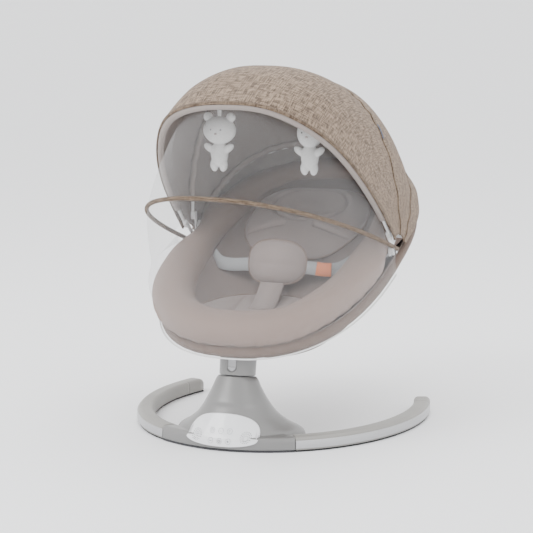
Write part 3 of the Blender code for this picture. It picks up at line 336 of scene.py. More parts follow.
PEDESTAL = np.array([               # height, half width, front, back, how far it follows the ring's curve
    (0.0035, 0.118, -0.3265, -0.186, 1.00), (0.0150, 0.118, -0.3265, -0.186, 1.00),
    (0.0260, 0.112, -0.3225, -0.186, 0.95), (0.0380, 0.092, -0.3165, -0.187, 0.80),
    (0.0520, 0.074, -0.3095, -0.189, 0.55), (0.0700, 0.060, -0.3005, -0.193, 0.30),
    (0.0880, 0.050, -0.2910, -0.199, 0.12), (0.1040, 0.0425, -0.2830, -0.205, 0.0),
    (0.1150, 0.0375, -0.2775, -0.2085, 0.0), (0.1195, 0.0340, -0.2755, -0.2095, 0.0)])


def eased(knots, values, x):
    """A cubic Hermite curve through (knots, values), its slopes from finite differences."""
    slopes = np.gradient(values, knots)
    i = np.clip(np.searchsorted(knots, x) - 1, 0, len(knots) - 2)
    h = knots[i + 1] - knots[i]
    t = np.clip((x - knots[i]) / h, 0, 1)
    return ((1 + 2 * t) * (1 - t) ** 2 * values[i] + t * (1 - t) ** 2 * h * slopes[i]
            + t * t * (3 - 2 * t) * values[i + 1] + t * t * (t - 1) * h * slopes[i + 1])


def pedestal_front(x, z):
    """Depth of the pedestal's front at a width and height, from its superellipse at that level."""
    half, front, rear, follow = (eased(PEDESTAL[:, 0], PEDESTAL[:, k], z) for k in (1, 2, 3, 4))
    fullness = 2.0 + 0.5 * follow
    middle, depth = (front + rear) / 2, (rear - front) / 2
    bend = RING_HALF_DEPTH * (1 - np.sqrt(np.clip(1 - (x / RING_HALF_WIDTH) ** 2, 0, 1))) * follow
    share = np.clip(1 - np.abs(x / half) ** fullness, 0, 1) ** (1 / fullness)
    return RING_Y + middle - depth * share + bend


level = np.concatenate([np.linspace(0.0035, 0.104, 60), np.linspace(0.106, 0.1195, 12)])[:, None]
turn = np.linspace(0, 2 * np.pi, 160, endpoint=False)[None, :]
half, front, rear, follow = (eased(PEDESTAL[:, 0], PEDESTAL[:, k], level) for k in (1, 2, 3, 4))
fullness = 2.0 + 0.5 * follow
c, s = np.cos(turn), np.sin(turn)
x = half * np.sign(c) * np.abs(c) ** (2 / fullness)
y = (front + rear) / 2 + (rear - front) / 2 * np.sign(s) * np.abs(s) ** (2 / fullness)
bend = RING_HALF_DEPTH * (1 - np.sqrt(1 - (x / RING_HALF_WIDTH) ** 2)) * follow
tip = np.maximum(0.0, level - 0.07) / 0.05 * math.tan(math.radians(9.0))
z = level - tip * (y - (front + rear) / 2)
arch = 0.028 + 0.050 * np.sqrt(np.clip(1 - (x / 0.122) ** 2, 0, 1))
brow = 0.0022 / (1 + np.exp(-(z - arch) / 0.0008)) * np.exp(-np.maximum(0, z - arch) / 0.018) * (s < 0)
pedestal = surface("pedestal_skin", np.stack([x, RING_Y + y + bend - brow, z], -1), wrap_columns=True)
close_ends(pedestal)
wing = arm_sweep("wing", SEAM_ANGLE, math.pi - SEAM_ANGLE,
                 rounded_section(0.0034, ARM_TOP, 0.0, ARM_WIDTH, 0.0085))
close_ends(wing)


def fuse(piece, others, voxel, rounds):
    """Joins closed meshes, remeshes them as one skin and smooths the corner where they meet."""
    bm = bmesh.new()
    for item in (piece, *others):
        bm.from_mesh(item.data)
    bm.to_mesh(piece.data)
    bm.free()
    for item in others:
        bpy.data.objects.remove(item, do_unlink=True)
    whole = piece.modifiers.new("whole", "REMESH")
    whole.mode, whole.voxel_size, whole.use_smooth_shade = "VOXEL", voxel, True
    soft = piece.modifiers.new("soft", "SMOOTH")
    soft.factor, soft.iterations = 0.5, rounds
    ready = piece.evaluated_get(bpy.context.evaluated_depsgraph_get())
    mesh = bpy.data.meshes.new_from_object(ready)
    piece.modifiers.clear()
    piece.data = mesh
    mesh.shade_smooth()
    return piece


fuse(pedestal, [wing], 0.0016, 5)
dress(pedestal, silver, "base", "silver_plastic", "pedestal_shell")

PANEL_LOW, PANEL_HIGH, PANEL_HALF, PANEL_SILL = 0.0090, 0.0640, 0.0675, 0.0225


FRONT_BLEND = 0.0022                 # how softly the pedestal's front runs into the ring's front


def on_panel(x, z, lift):
    """A point of the panel's face at a width and height: the foremost of the pedestal and the ring's
    outer face, joined by a soft minimum, then lifted."""
    ring_front = RING_Y - RING_HALF_DEPTH * np.sqrt(np.clip(1 - (x / RING_HALF_WIDTH) ** 2, 0, 1))
    ring_front = ring_front + 2.0 * np.maximum(0.0, z - (ARM_TOP - 0.006))
    both = (pedestal_front(x, z), ring_front)
    front = -FRONT_BLEND * np.log(sum(np.exp(-face / FRONT_BLEND) for face in both))
    return np.stack([x, front - lift, z], -1)


radius = np.concatenate([np.linspace(0.02, 0.95, 26), np.linspace(0.965, 1.0, 6)])[:, None]
turn = np.linspace(0, 2 * np.pi, 140, endpoint=False)[None, :]
c, s = np.cos(turn), np.sin(turn)
outline_x = PANEL_HALF * np.sign(c) * np.abs(c) ** (2 / 2.3)
outline_z = np.where(s > 0, PANEL_HIGH - PANEL_SILL, PANEL_SILL - PANEL_LOW)
outline_z = outline_z * np.sign(s) * np.abs(s) ** (2 / 2.3)
lift = 0.0016 + 0.0016 * np.sqrt(np.clip(1 - ((radius - 0.94) / 0.06).clip(0, 1) ** 2, 0, 1)) + 0 * turn
panel = surface("panel_fascia", on_panel(outline_x * radius, PANEL_SILL + outline_z * radius, lift),
                wrap_columns=True)
close_ends(panel)
panel.modifiers.new("depth", "SOLIDIFY").thickness = 0.0018
gloss = moulded("white_gloss", (0.80, 0.81, 0.83), 0.10, 0.0, 0.6, 0.00001)
print_grey = moulded("printed_grey", (0.07, 0.075, 0.085), 0.45)
faint_grey = moulded("printed_faint", (0.25, 0.26, 0.28), 0.45)
dress(panel, gloss, "base", "white_gloss", "control_panel")

FACE_LIFT = 0.0037


def mark(name, strokes, width, finish):
    """Printed marks: each stroke is a line of panel points given a width, lying just off the face."""
    grids, faces, count = [], [], 0
    for stroke in strokes:
        line = np.array(stroke, float)
        step = np.gradient(line, axis=0)
        step /= np.linalg.norm(step, axis=1, keepdims=True) + 1e-9
        aside = np.stack([-step[:, 1], step[:, 0]], -1) * width / 2
        both = np.concatenate([line + aside, line - aside])
        n = len(line)
        i = np.arange(n - 1)
        faces.append(np.stack([i, i + 1, i + 1 + n, i + n], -1) + count)
        grids.append(on_panel(both[:, 0], both[:, 1], FACE_LIFT))
        count += 2 * n
    mesh = bpy.data.meshes.new(name)
    mesh.from_pydata(np.concatenate(grids).tolist(), [], np.concatenate(faces).tolist())
    piece = bpy.data.objects.new(name, mesh)
    bpy.context.scene.collection.objects.link(piece)
    dress(piece, finish, "base", "dark_plastic")


def ring_stroke(x, z, radius, start=0.0, end=2 * math.pi, count=18):
    """Points of an arc on the panel."""
    a = np.linspace(start, end, count)
    return np.stack([x + radius * np.cos(a), z + radius * np.sin(a)], -1)


TOP_ROW, LOW_ROW, KEY_PITCH = 0.0355, 0.0190, 0.0165
mark("low_row_marks", [
    ring_stroke(0, LOW_ROW, 0.0022, math.radians(120), math.radians(420)),
    [(0, LOW_ROW), (0, LOW_ROW + 0.0028)],
    [(-KEY_PITCH - 0.002, LOW_ROW), (-KEY_PITCH + 0.002, LOW_ROW)],
    [(KEY_PITCH - 0.002, LOW_ROW), (KEY_PITCH + 0.002, LOW_ROW)],
    [(KEY_PITCH, LOW_ROW - 0.002), (KEY_PITCH, LOW_ROW + 0.002)]], 0.0008, print_grey)
mark("top_row_marks", [
    ring_stroke(-KEY_PITCH, TOP_ROW, 0.0022), [(-KEY_PITCH, TOP_ROW + 0.0014), (-KEY_PITCH, TOP_ROW)],
    [(-0.0024, TOP_ROW + 0.0006), (0, TOP_ROW - 0.0010), (0.0024, TOP_ROW + 0.0006)],
    [(KEY_PITCH - 0.001, TOP_ROW - 0.002), (KEY_PITCH - 0.001, TOP_ROW + 0.002),
     (KEY_PITCH + 0.0018, TOP_ROW + 0.0012)],
    *[ring_stroke(x, TOP_ROW, 0.0046, count=30) for x in (-KEY_PITCH, 0, KEY_PITCH)],
    *[ring_stroke(x, LOW_ROW, 0.0046, count=30) for x in (-KEY_PITCH, 0, KEY_PITCH)],
    ring_stroke(0.046, 0.0250, 0.0038, count=24)], 0.00045, faint_grey)
holes = [(sign * 0.046 + r * math.cos(a), 0.0262 + r * math.sin(a))
         for sign in (-1, 1) for r, n in ((0.0001, 1), (0.0030, 6), (0.0060, 11), (0.0088, 16))
         for a in np.linspace(0, 2 * math.pi, n, endpoint=False) if sign < 0 or r > 0.005]
mark("speaker_holes", [[(x - 0.0006, z), (x + 0.0006, z)] for x, z in holes], 0.0012, print_grey)

for name in ("timer_button", "swing_button", "music_button", "minus_button", "power_button", "plus_button"):
    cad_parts[name].data.materials.clear()
    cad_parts[name].data.materials.append(gloss)


# ---------------------------------------------------------------- neck
# A silver sleeve leans back from the pedestal to the cradle.  An oval release button with two raised
# lips sits in a shallow well in its front.

NECK_TILT = math.radians(9.0)
NECK_FOOT = np.array([0.0, RING_Y - 0.243, 0.1205])
NECK_ACROSS = np.array([[1, 0, 0], [0, math.cos(NECK_TILT), -math.sin(NECK_TILT)],
                        [0, math.sin(NECK_TILT), math.cos(NECK_TILT)]])
BUTTON_HALF_WIDTH, BUTTON_HALF_HEIGHT, BUTTON_MIDDLE = 0.0082, 0.0138, 0.0215


def in_neck(radius, turn, height):
    """Points about the neck's axis; turn 0 is the front."""
    local = np.stack(np.broadcast_arrays(radius * np.sin(turn), -radius * np.cos(turn), height), -1)
    return NECK_FOOT + local @ NECK_ACROSS


def oval(across, height, grow):
    """How deep a point lies inside the button's upright oval: below 0 is inside."""
    straight = BUTTON_HALF_HEIGHT - BUTTON_HALF_WIDTH
    over = np.maximum(np.abs(height - BUTTON_MIDDLE) - straight, 0)
    return np.hypot(across, over) - BUTTON_HALF_WIDTH - grow


height = np.concatenate([[0.0006, 0.0009], np.linspace(0.0015, 0.0437, 90), [0.0442, 0.0445]])[:, None]
turn = np.linspace(-np.pi, np.pi, 240, endpoint=False)[None, :]
edge = np.minimum(height - 0.0006, 0.0445 - height).clip(0, 0.0012)
base = 0.0325 + 0.0008 * height / 0.0445 - 0.0012 + np.sqrt((0.0012 ** 2 - (0.0012 - edge) ** 2).clip(0))
depth = oval(base * turn, height, 0.0016)
well = 0.0034 / (1 + np.exp(np.clip(depth / 0.00045, -40, 40))) * (np.abs(turn) < 1)
sleeve = surface("neck_skin", in_neck(base - well, turn, height), wrap_columns=True)
dress(close_ends(sleeve), silver, "neck", "silver_plastic", "neck_sleeve", "neck_head")

radius = np.linspace(0.0, 1.0, 40)[1:, None]
turn = np.linspace(0, 2 * np.pi, 96, endpoint=False)[None, :]
straight = BUTTON_HALF_HEIGHT - BUTTON_HALF_WIDTH
across = BUTTON_HALF_WIDTH * radius * np.cos(turn)
up = BUTTON_MIDDLE + radius * (BUTTON_HALF_WIDTH * np.sin(turn) + np.tanh(6 * np.sin(turn)) * straight)
crown = 0.0012 * np.sqrt(np.clip(1 - radius ** 8, 0, 1))
lips = 0.0016 * np.exp(-((np.abs(up - BUTTON_MIDDLE) - 0.0082) / 0.0026) ** 2) * (1 - radius ** 6)
groove = 0.0007 * np.exp(-((up - BUTTON_MIDDLE) / 0.0005) ** 2) * (np.abs(across) < 0.0032)
button = surface("release_cap", in_neck(0.0292 + crown + lips - groove, across / 0.030, up),
                 wrap_columns=True)
close_ends(button)
dress(button, moulded("button_silver", (0.40, 0.40, 0.41), 0.30, 0.25, 0.2), "release", "silver_plastic",
      "release_button")


# ---------------------------------------------------------------- cradle's outer cloth
# Woven cloth is stretched over a round steel ring: a smooth belly below, and a stitched sleeve that
# the tube runs through.  The belly has an opening where the neck comes through.

HINGE_Y, HINGE_Z = RING_Y + 0.040, 0.317
RIM_TILT = math.radians(21.0)
RIM_HALF_WIDTH, RIM_FRONT, RIM_BACK, RIM_LEVEL, RIM_FULLNESS = 0.177, 0.332, 0.278, 0.0095, 2.6
TUBE_OUT, TUBE_DOWN = 0.0254, 0.0303


def woven_group():
    """Plain woven cloth: crossing threads as height, long slubs of two tones along both directions,
    and a broad soft cloud of wear."""
    group, start, end = node_group(
        "woven cloth",
        [("Vector", "NodeSocketVector", None), ("Light", "NodeSocketColor", (0.5, 0.5, 0.5, 1.0)),
         ("Dark", "NodeSocketColor", (0.4, 0.4, 0.4, 1.0)), ("Threads", "NodeSocketFloat", 1400.0),
         ("Melange", "NodeSocketFloat", 0.3)],
        [("Colour", "NodeSocketColor"), ("Height", "NodeSocketFloat")])
    vector = start.outputs["Vector"]
    split = group.nodes.new("ShaderNodeSeparateXYZ")
    group.links.new(vector, split.inputs[0])
    warp = maths(group, "SINE", maths(group, "MULTIPLY", split.outputs["X"], start.outputs["Threads"]))
    weft = maths(group, "SINE", maths(group, "MULTIPLY", split.outputs["Y"], start.outputs["Threads"]))
    threads = maths(group, "MULTIPLY", warp, weft)
    slub_a = noise(group, vector, 1.0, 2.0, (55.0, 520.0, 1.0))
    slub_b = noise(group, vector, 1.0, 2.0, (520.0, 55.0, 1.0))
    cloud = noise(group, vector, 14.0, 3.0)
    both = maths(group, "SUBTRACT", maths(group, "ADD", slub_a, slub_b), 1.0)
    strong = maths(group, "MULTIPLY", both, maths(group, "MULTIPLY", start.outputs["Melange"], 7.0))
    share = maths(group, "ADD", maths(group, "ADD", strong, maths(group, "MULTIPLY", cloud, 0.25)), 0.35)
    clamp = group.nodes.new("ShaderNodeClamp")
    group.links.new(share, clamp.inputs[0])
    group.links.new(mix_colour(group, clamp.outputs[0], start.outputs["Light"], start.outputs["Dark"]),
                    end.inputs["Colour"])
    group.links.new(maths(group, "ADD", threads, maths(group, "MULTIPLY", both, 2.0)), end.inputs["Height"])
    return group


WOVEN = woven_group()


def woven(name, light, dark, melange, threads=9000.0, bump=0.00012, sheen=0.15, roughness=0.88):
    """A cloth finish from the weave group; its threads follow the piece's UV map."""
    material = bpy.data.materials.new(name)
    material.use_nodes = True
    tree = material.node_tree
    shader = tree.nodes["Principled BSDF"]
    shader.inputs["Roughness"].default_value = roughness
    shader.inputs["Sheen Weight"].default_value = sheen
    shader.inputs["Sheen Roughness"].default_value = 0.5
    shader.inputs["Specular IOR Level"].default_value = 0.2
    place = tree.nodes.new("ShaderNodeTexCoord")
    group = tree.nodes.new("ShaderNodeGroup")
    group.node_tree = WOVEN
    group.inputs["Light"].default_value = (*light, 1.0)
    group.inputs["Dark"].default_value = (*dark, 1.0)
    group.inputs["Threads"].default_value = threads
    group.inputs["Melange"].default_value = melange
    tree.links.new(place.outputs["UV"], group.inputs["Vector"])
    tree.links.new(group.outputs["Colour"], shader.inputs["Base Color"])
    raised = tree.nodes.new("ShaderNodeBump")
    raised.inputs["Distance"].default_value = bump
    raised.inputs["Strength"].default_value = 0.6
    tree.links.new(group.outputs["Height"], raised.inputs["Height"])
    tree.links.new(raised.outputs["Normal"], shader.inputs["Normal"])
    return material


cradle_cloth = woven("cradle_cloth", (0.27, 0.200, 0.170), (0.23, 0.168, 0.142), 0.06)
belly_cloth = woven("belly_cloth", (0.17, 0.122, 0.098), (0.13, 0.092, 0.074), 0.10)
pad_cloth = woven("pad_cloth", (0.225, 0.178, 0.162), (0.195, 0.152, 0.138), 0.05)
insert_cloth = woven("insert_cloth", (0.34, 0.285, 0.268), (0.30, 0.25, 0.235), 0.05)
thread_finish = woven("sewing_thread", (0.19, 0.15, 0.13), (0.16, 0.125, 0.105), 0.05)


def signed_power(value, exponent):
    """A signed power, for superellipses."""
    return np.sign(value) * np.abs(value) ** exponent


def rim(turn, out=0.0, up=0.0):
    """Points about the cradle's rim: a superellipse in its tilted plane, moved outwards and upwards."""
    c, s = np.cos(turn), np.sin(turn)
    reach = np.where(s >= 0, RIM_FRONT, RIM_BACK)
    x = RIM_HALF_WIDTH * signed_power(c, 2 / RIM_FULLNESS)
    y = -reach * signed_power(s, 2 / RIM_FULLNESS)
    nx, ny = signed_power(c, 1.2) / RIM_HALF_WIDTH, -signed_power(s, 1.2) / reach
    size = np.hypot(nx, ny)
    x, y = x + out * nx / size, y + out * ny / size
    ct, st = math.cos(RIM_TILT), math.sin(RIM_TILT)
    depth, height = HINGE_Y + y * ct - up * st, HINGE_Z + RIM_LEVEL + y * st + up * ct
    return np.stack(np.broadcast_arrays(x, depth, height), -1)


def cut_size(grid):
    """Flat size and area of a stretched panel, measured on its own surface: the longest row by the longest
    column of the grid, and the sum of its cells (half the cross product of each cell's diagonals)."""
    rows = np.linalg.norm(np.diff(grid, axis=1), axis=-1).sum(1).max()
    columns = np.linalg.norm(np.diff(grid, axis=0), axis=-1).sum(0).max()
    first, second = grid[1:, 1:] - grid[:-1, :-1], grid[1:, :-1] - grid[:-1, 1:]
    area = 0.5 * np.linalg.norm(np.cross(first, second), axis=-1).sum()
    return (float(rows), float(max(columns, area / rows))), float(area)


share = np.concatenate([np.linspace(0.02, 0.9, 60), np.linspace(0.915, 1.0, 12)])[:, None]
turn = np.linspace(0, 2 * np.pi, 240, endpoint=False)[None, :]
edge = rim(turn, TUBE_OUT - 0.004, -TUBE_DOWN - 0.0035)
pole = np.array([0.0, RING_Y + 0.005, 0.127])
flat = pole + (edge - pole) * share[..., None]
pull = 0.0016 * np.sin(turn * 17 + 3 * np.sin(turn * 3)) * share ** 6 * (1 - share) * 6
flat[..., 2] = edge[..., 2] - (edge[..., 2] - pole[2]) * (1 - share ** 2.2) - pull
away = (flat - NECK_FOOT) @ NECK_ACROSS.T
clear_of_neck = np.hypot(away[..., 0], away[..., 1]) > 0.0445
keep = clear_of_neck[:-1] & clear_of_neck[1:]
belly = surface("belly_skin", flat, wrap_columns=True, keep=keep)
bm = bmesh.new()
bm.from_mesh(belly.data)
middle = bm.verts.new(pole)
ring = [vert for vert in bm.verts if (vert.co - Vector(pole)).length < 0.012 and vert is not middle]
ring.sort(key=lambda vert: math.atan2(vert.co.y - pole[1], vert.co.x - pole[0]))
for first, second in zip(ring, ring[1:] + ring[:1]):
    bm.faces.new((first, second, middle))
bmesh.ops.delete(bm, geom=[vert for vert in bm.verts if not vert.link_faces], context="VERTS")
bmesh.ops.recalc_face_normals(bm, faces=bm.faces)
bm.to_mesh(belly.data)
bm.free()
belly.data.shade_smooth()
solid = belly.modifiers.new("cloth", "SOLIDIFY")
solid.thickness, solid.offset = 0.0014, 1.0
dress(belly, belly_cloth, "cradle", "belly_fabric", "belly_cover")


def round_loop(name, turns, out, up, radius, sides, ripple=0.0):
    """A round section carried along the rim; a ripple makes the cloth gather."""
    a = np.linspace(0, 2 * np.pi, sides, endpoint=False)[None, :]
    t = turns[:, None]
    size = radius * (1 + ripple * np.sin(t * 61 + 2 * np.sin(a)))
    return surface(name, rim(t, out + size * np.cos(a), up + size * np.sin(a)),
                   wrap_rows=True, wrap_columns=True)


loop = np.linspace(0, 2 * np.pi, 360, endpoint=False)
sleeve = round_loop("tube_sleeve", loop, TUBE_OUT, -TUBE_DOWN, 0.0098, 20, 0.012)
dress(sleeve, belly_cloth, "cradle", "belly_fabric")


# ---------------------------------------------------------------- rolls of the rim
# A long roll stuffed with fibre lies all round the rim.  Its cover is sewn to the sleeve of the tube
# outside and to the seat inside, and puckers a little along both seams.

turn = np.linspace(0, 2 * np.pi, 420, endpoint=False)[:, None]
a = np.linspace(0, 2 * np.pi, 72, endpoint=False)[None, :]
hinge_pinch = np.exp(-(np.sin(turn) / 0.10) ** 2)
left_front = np.exp(-((turn - math.radians(150)) / math.radians(34)) ** 2)
right_front = np.exp(-((turn - math.radians(35)) / math.radians(26)) ** 2)
wide = 0.0345 - 0.010 * hinge_pinch - 0.003 * right_front
tall = 0.0305 - 0.004 * hinge_pinch
out = wide * signed_power(np.cos(a), 0.86)
up = tall * signed_power(np.sin(a), 0.92)
pucker = (np.sin(turn * 46 + 2.2 * np.sin(turn * 5)) + 0.6 * np.sin(turn * 83 + 1.0)) * 0.0009
pucker = pucker * (np.exp(-((a - 5.5) / 0.55) ** 2) + np.exp(-((a - 3.6) / 0.5) ** 2))
dimple = 0.0022 * np.sin(turn * 7 + 0.6) * np.cos(a - 1.2) * np.sin(turn * 3 + 1.4)
shift = -0.004 - 0.006 * hinge_pinch + 0.011 * left_front - 0.002 * right_front
roll_out = shift + out * (1 + 0.16 * left_front) + (pucker + dimple) * np.cos(a)
roll = surface("rim_roll", rim(turn, roll_out, up + (pucker + dimple) * np.sin(a)),
               wrap_rows=True, wrap_columns=True)
dress(roll, cradle_cloth, "cradle", "cradle_fabric", "front_rim_roll", "rear_rim_roll")

seam_turns = np.linspace(0, 2 * np.pi, 900, endpoint=False)
seam = round_loop("roll_seam", seam_turns, 0.0252, -0.0192, 0.0011, 8)
dress(seam, thread_finish, "cradle", "cradle_fabric")


# ---------------------------------------------------------------- seat and cushions
# The seat is a quilted pad that hangs in the rim like a shell.  An infant insert lies on it: a long leg
# pad below, and above it a wide head cushion with a piped edge and a hollow for the head.

PAD_Y = RING_Y + np.array([-0.262, -0.240, -0.190, -0.130, -0.070, -0.010, 0.050, 0.120, 0.190, 0.270])
PAD_Z = np.array([0.2245, 0.2150, 0.2050, 0.2050, 0.2260, 0.2680, 0.3100, 0.3520, 0.3920, 0.4230])


def rim_edge(y):
    """Half of the rim's width at a depth."""
    ahead = (y - HINGE_Y) / math.cos(RIM_TILT)
    part = np.minimum(1.0, np.abs(ahead) / np.where(ahead > 0, RIM_BACK, RIM_FRONT))
    return RIM_HALF_WIDTH * (1 - part ** RIM_FULLNESS) ** (1 / RIM_FULLNESS)


def seat_height(x, y):
    """Height of the seat: its middle line, rising to the rim with the cube of the share across."""
    middle = eased(PAD_Y, PAD_Z, y)
    rim_top = HINGE_Z + RIM_LEVEL + (y - HINGE_Y) * math.tan(RIM_TILT)
    half = np.maximum(0.02, rim_edge(y) - 0.034)
    return middle + (np.maximum(middle, rim_top - 0.004) - middle) * np.minimum(1.0, np.abs(x) / half) ** 3


across = np.linspace(-1, 1, 150)[None, :]
y = np.linspace(RING_Y - 0.246, RING_Y + 0.262, 200)[:, None]
x = np.maximum(0.02, rim_edge(y) - 0.033) * across
folds = 0.0016 * np.sin(x * 60 + 1.2 * np.sin(y * 22)) * np.sin(y * 26 + 0.8) * (1 - across ** 4)
creases = 0.0022 * np.exp(-((np.abs(x) - 0.062 - 0.15 * (y - RING_Y)) / 0.010) ** 2)
seat = surface("seat_shell", np.stack([x, y + 0 * x, seat_height(x, y) + folds - creases], -1))
thick = seat.modifiers.new("filling", "SOLIDIFY")
thick.thickness, thick.offset = 0.011, -1.0
dress(seat, pad_cloth, "cradle", "pad_fabric", "seat_pad")


def outline(turn, half_x, half_y, fullness):
    """A superellipse about the origin."""
    power = 2 / fullness
    return half_x * signed_power(np.cos(turn), power), half_y * signed_power(np.sin(turn), power)


def pillow(name, place, half_x, half_y, thickness, fullness, relief, shape=None, steps=64, sides=200):
    """A crowned pad.  Rings shrink from the seam to the middle: the top stands up by a quarter circle
    raised to a low power, the underside is nearly flat.  relief(x, y) adds seams, shape bends the outline."""
    share = np.sin(np.linspace(0.03, np.pi / 2, steps))[::-1, None]
    turn = np.linspace(0, 2 * np.pi, sides, endpoint=False)[None, :]
    edge_x, edge_y = outline(turn, half_x, half_y, fullness)
    if shape is not None:
        edge_x, edge_y = shape(edge_x, edge_y)
    x, y = edge_x * share, edge_y * share
    top = thickness * (1 - share ** 2.6) ** 0.62
    rise = 1 - share ** 10
    upper = place(x, y, top + relief(x, y) * rise)
    lower = place(x[::-1], y[::-1], -0.18 * thickness * (1 - share[::-1] ** 4))
    grid = np.concatenate([upper[::-1], lower[::-1][1:]], 0)
    return close_ends(surface(name, grid, wrap_columns=True))


def lying(x, y, lift):
    """A place on the seat, lifted off it along the slope's normal."""
    here = seat_height(x, y)
    slope = (seat_height(x, y + 0.004) - seat_height(x, y - 0.004)) / 0.008
    length = np.sqrt(1 + slope ** 2)
    return np.stack(np.broadcast_arrays(x, y - lift * slope / length, here + 0.002 + lift / length), -1)


HEAD_Y, HEAD_HALF_X, HEAD_HALF_Y = RING_Y + 0.112, 0.119, 0.098


def head_place(x, y, lift):
    return lying(x, HEAD_Y + y, lift)


def head_relief(x, y):
    """A head hollow ringed by an arched seam, and a seam that runs in from each side."""
    ring_at = np.hypot(x / 0.074, (y - 0.036) / 0.050)
    hollow = -0.0125 * np.exp(-(ring_at / 0.80) ** 4)
    arch = -0.0075 * np.exp(-((ring_at - 1.0) / 0.062) ** 2) * (y > -0.022)
    sides = -0.0060 * np.exp(-((y + 0.020 + 0.25 * np.abs(x)) / 0.0045) ** 2) * (np.abs(x) > 0.028)
    return hollow + arch + sides + 0.0012 * np.sin(x * 70 + 2) * np.sin(y * 60)


def head_shape(x, y):
    """The cushion narrows towards its lower edge and has a shallow bay there."""
    low = np.clip(-y / HEAD_HALF_Y, 0, 1)
    return x * (1 - 0.22 * low ** 1.5), y + 0.010 * low * np.cos(x / HEAD_HALF_X * 2.2)


head = pillow("head_cushion_skin", head_place, HEAD_HALF_X, HEAD_HALF_Y, 0.026, 2.9,
              head_relief, head_shape, 90, 260)
dress(head, insert_cloth, "cradle", "pad_fabric", "head_cushion")


def leg_place(x, y, lift):
    return lying(x, RING_Y - 0.135 + y, lift)


def leg_relief(x, y):
    """Two long channels and a few soft creases across."""
    channel = -0.0042 * (np.exp(-((np.abs(x) - 0.052) / 0.004) ** 2))
    return channel + 0.0011 * np.sin(y * 75 + x * 20) * np.cos(x * 24)


def leg_shape(x, y):
    """The leg pad is wider at the front than at the crotch."""
    return x * (1 - 0.10 * np.clip(y / 0.075, -1, 1)), y


legs = pillow("leg_pad", leg_place, 0.098, 0.078, 0.012, 2.8, leg_relief, leg_shape)
dress(legs, insert_cloth, "cradle", "pad_fabric")

CROTCH_CENTRE, CROTCH_LEAN = np.array([0.0, RING_Y - 0.052, 0.2975]), math.radians(11)


def crotch_place(x, y, lift):
    """A plane that stands up and leans back; lift is towards the front."""
    c, s = math.cos(CROTCH_LEAN), math.sin(CROTCH_LEAN)
    bulge = -0.012 * (x / 0.057) ** 2
    return CROTCH_CENTRE + np.stack(np.broadcast_arrays(
        x, y * s - (lift + bulge) * c, y * c + (lift + bulge) * s), -1)


def crotch_relief(x, y):
    """A soft crease across the middle."""
    crease = -0.0016 * np.exp(-((y + 0.004) / 0.006) ** 2) * np.cos(x * 20)
    return crease + 0.0007 * np.sin(x * 120) * np.cos(y * 90)


crotch = pillow("crotch_pad_skin", crotch_place, 0.057, 0.041, 0.015, 2.6, crotch_relief, None, 60, 160)
dress(crotch, insert_cloth, "cradle", "pad_fabric", "crotch_pad")


def piping(name, place, half_x, half_y, fullness, shape, radius, finish):
    """A round cord sewn into the seam of a pad."""
    turn = np.linspace(0, 2 * np.pi, 260, endpoint=False)
    x, y = outline(turn, half_x + 0.0004, half_y + 0.0004, fullness)
    if shape is not None:
        x, y = shape(x, y)
    path = place(x, y, 0.0016 + 0 * x)
    along = np.roll(path, -1, 0) - np.roll(path, 1, 0)
    along /= np.linalg.norm(along, axis=1, keepdims=True)
    up = place(x, y, 0.01 + 0 * x) - path
    up -= along * (up * along).sum(1, keepdims=True)
    up /= np.linalg.norm(up, axis=1, keepdims=True)
    side = np.cross(along, up)
    a = np.linspace(0, 2 * np.pi, 10, endpoint=False)[None, :, None]
    ring = path[:, None] + radius * (np.cos(a) * side[:, None] + np.sin(a) * up[:, None])
    dress(surface(name, ring, wrap_rows=True, wrap_columns=True), finish, "cradle", "pad_fabric")


piping("head_piping", head_place, HEAD_HALF_X, HEAD_HALF_Y, 2.9, head_shape, 0.0016, cradle_cloth)
piping("leg_piping", leg_place, 0.098, 0.078, 2.8, leg_shape, 0.0013, cradle_cloth)
piping("crotch_piping", crotch_place, 0.057, 0.041, 2.6, None, 0.0015, cradle_cloth)


# ---------------------------------------------------------------- harness
# Two webbing straps run from the buckle behind the crotch pad to slots in the seat; a wide cloth
# strap runs from the pad down to the seat.  The right waist strap carries a sewn orange tab.

webbing = woven("harness_webbing", (0.42, 0.43, 0.44), (0.30, 0.31, 0.32), 0.10, 4200.0, 0.0003)
orange_cloth = woven("orange_tab", (0.80, 0.25, 0.10), (0.66, 0.19, 0.08), 0.05)


def band(name, path, width, thickness, across, steps=60):
    """A flat band along a smooth path: Hermite curves through the points, a thin rounded section."""
    knots = np.concatenate([[0], np.cumsum(np.linalg.norm(np.diff(path, axis=0), axis=1))])
    s = np.linspace(0, knots[-1], steps)
    line = np.stack([eased(knots, path[:, k], s) for k in range(3)], -1)
    along = np.gradient(line, axis=0)
    along /= np.linalg.norm(along, axis=1, keepdims=True)
    side = np.array(across) - along * (along @ np.array(across))[:, None]
    side /= np.linalg.norm(side, axis=1, keepdims=True)
    face = np.cross(along, side)
    section = np.array([(-1, -1), (0, -1.1), (1, -1), (1.02, 0), (1, 1), (0, 1.1), (-1, 1), (-1.02, 0)])
    grid = line[:, None] + side[:, None] * section[None, :, :1] * width / 2 \
        + face[:, None] * section[None, :, 1:] * thickness / 2
    return close_ends(surface(name, grid, wrap_columns=True))


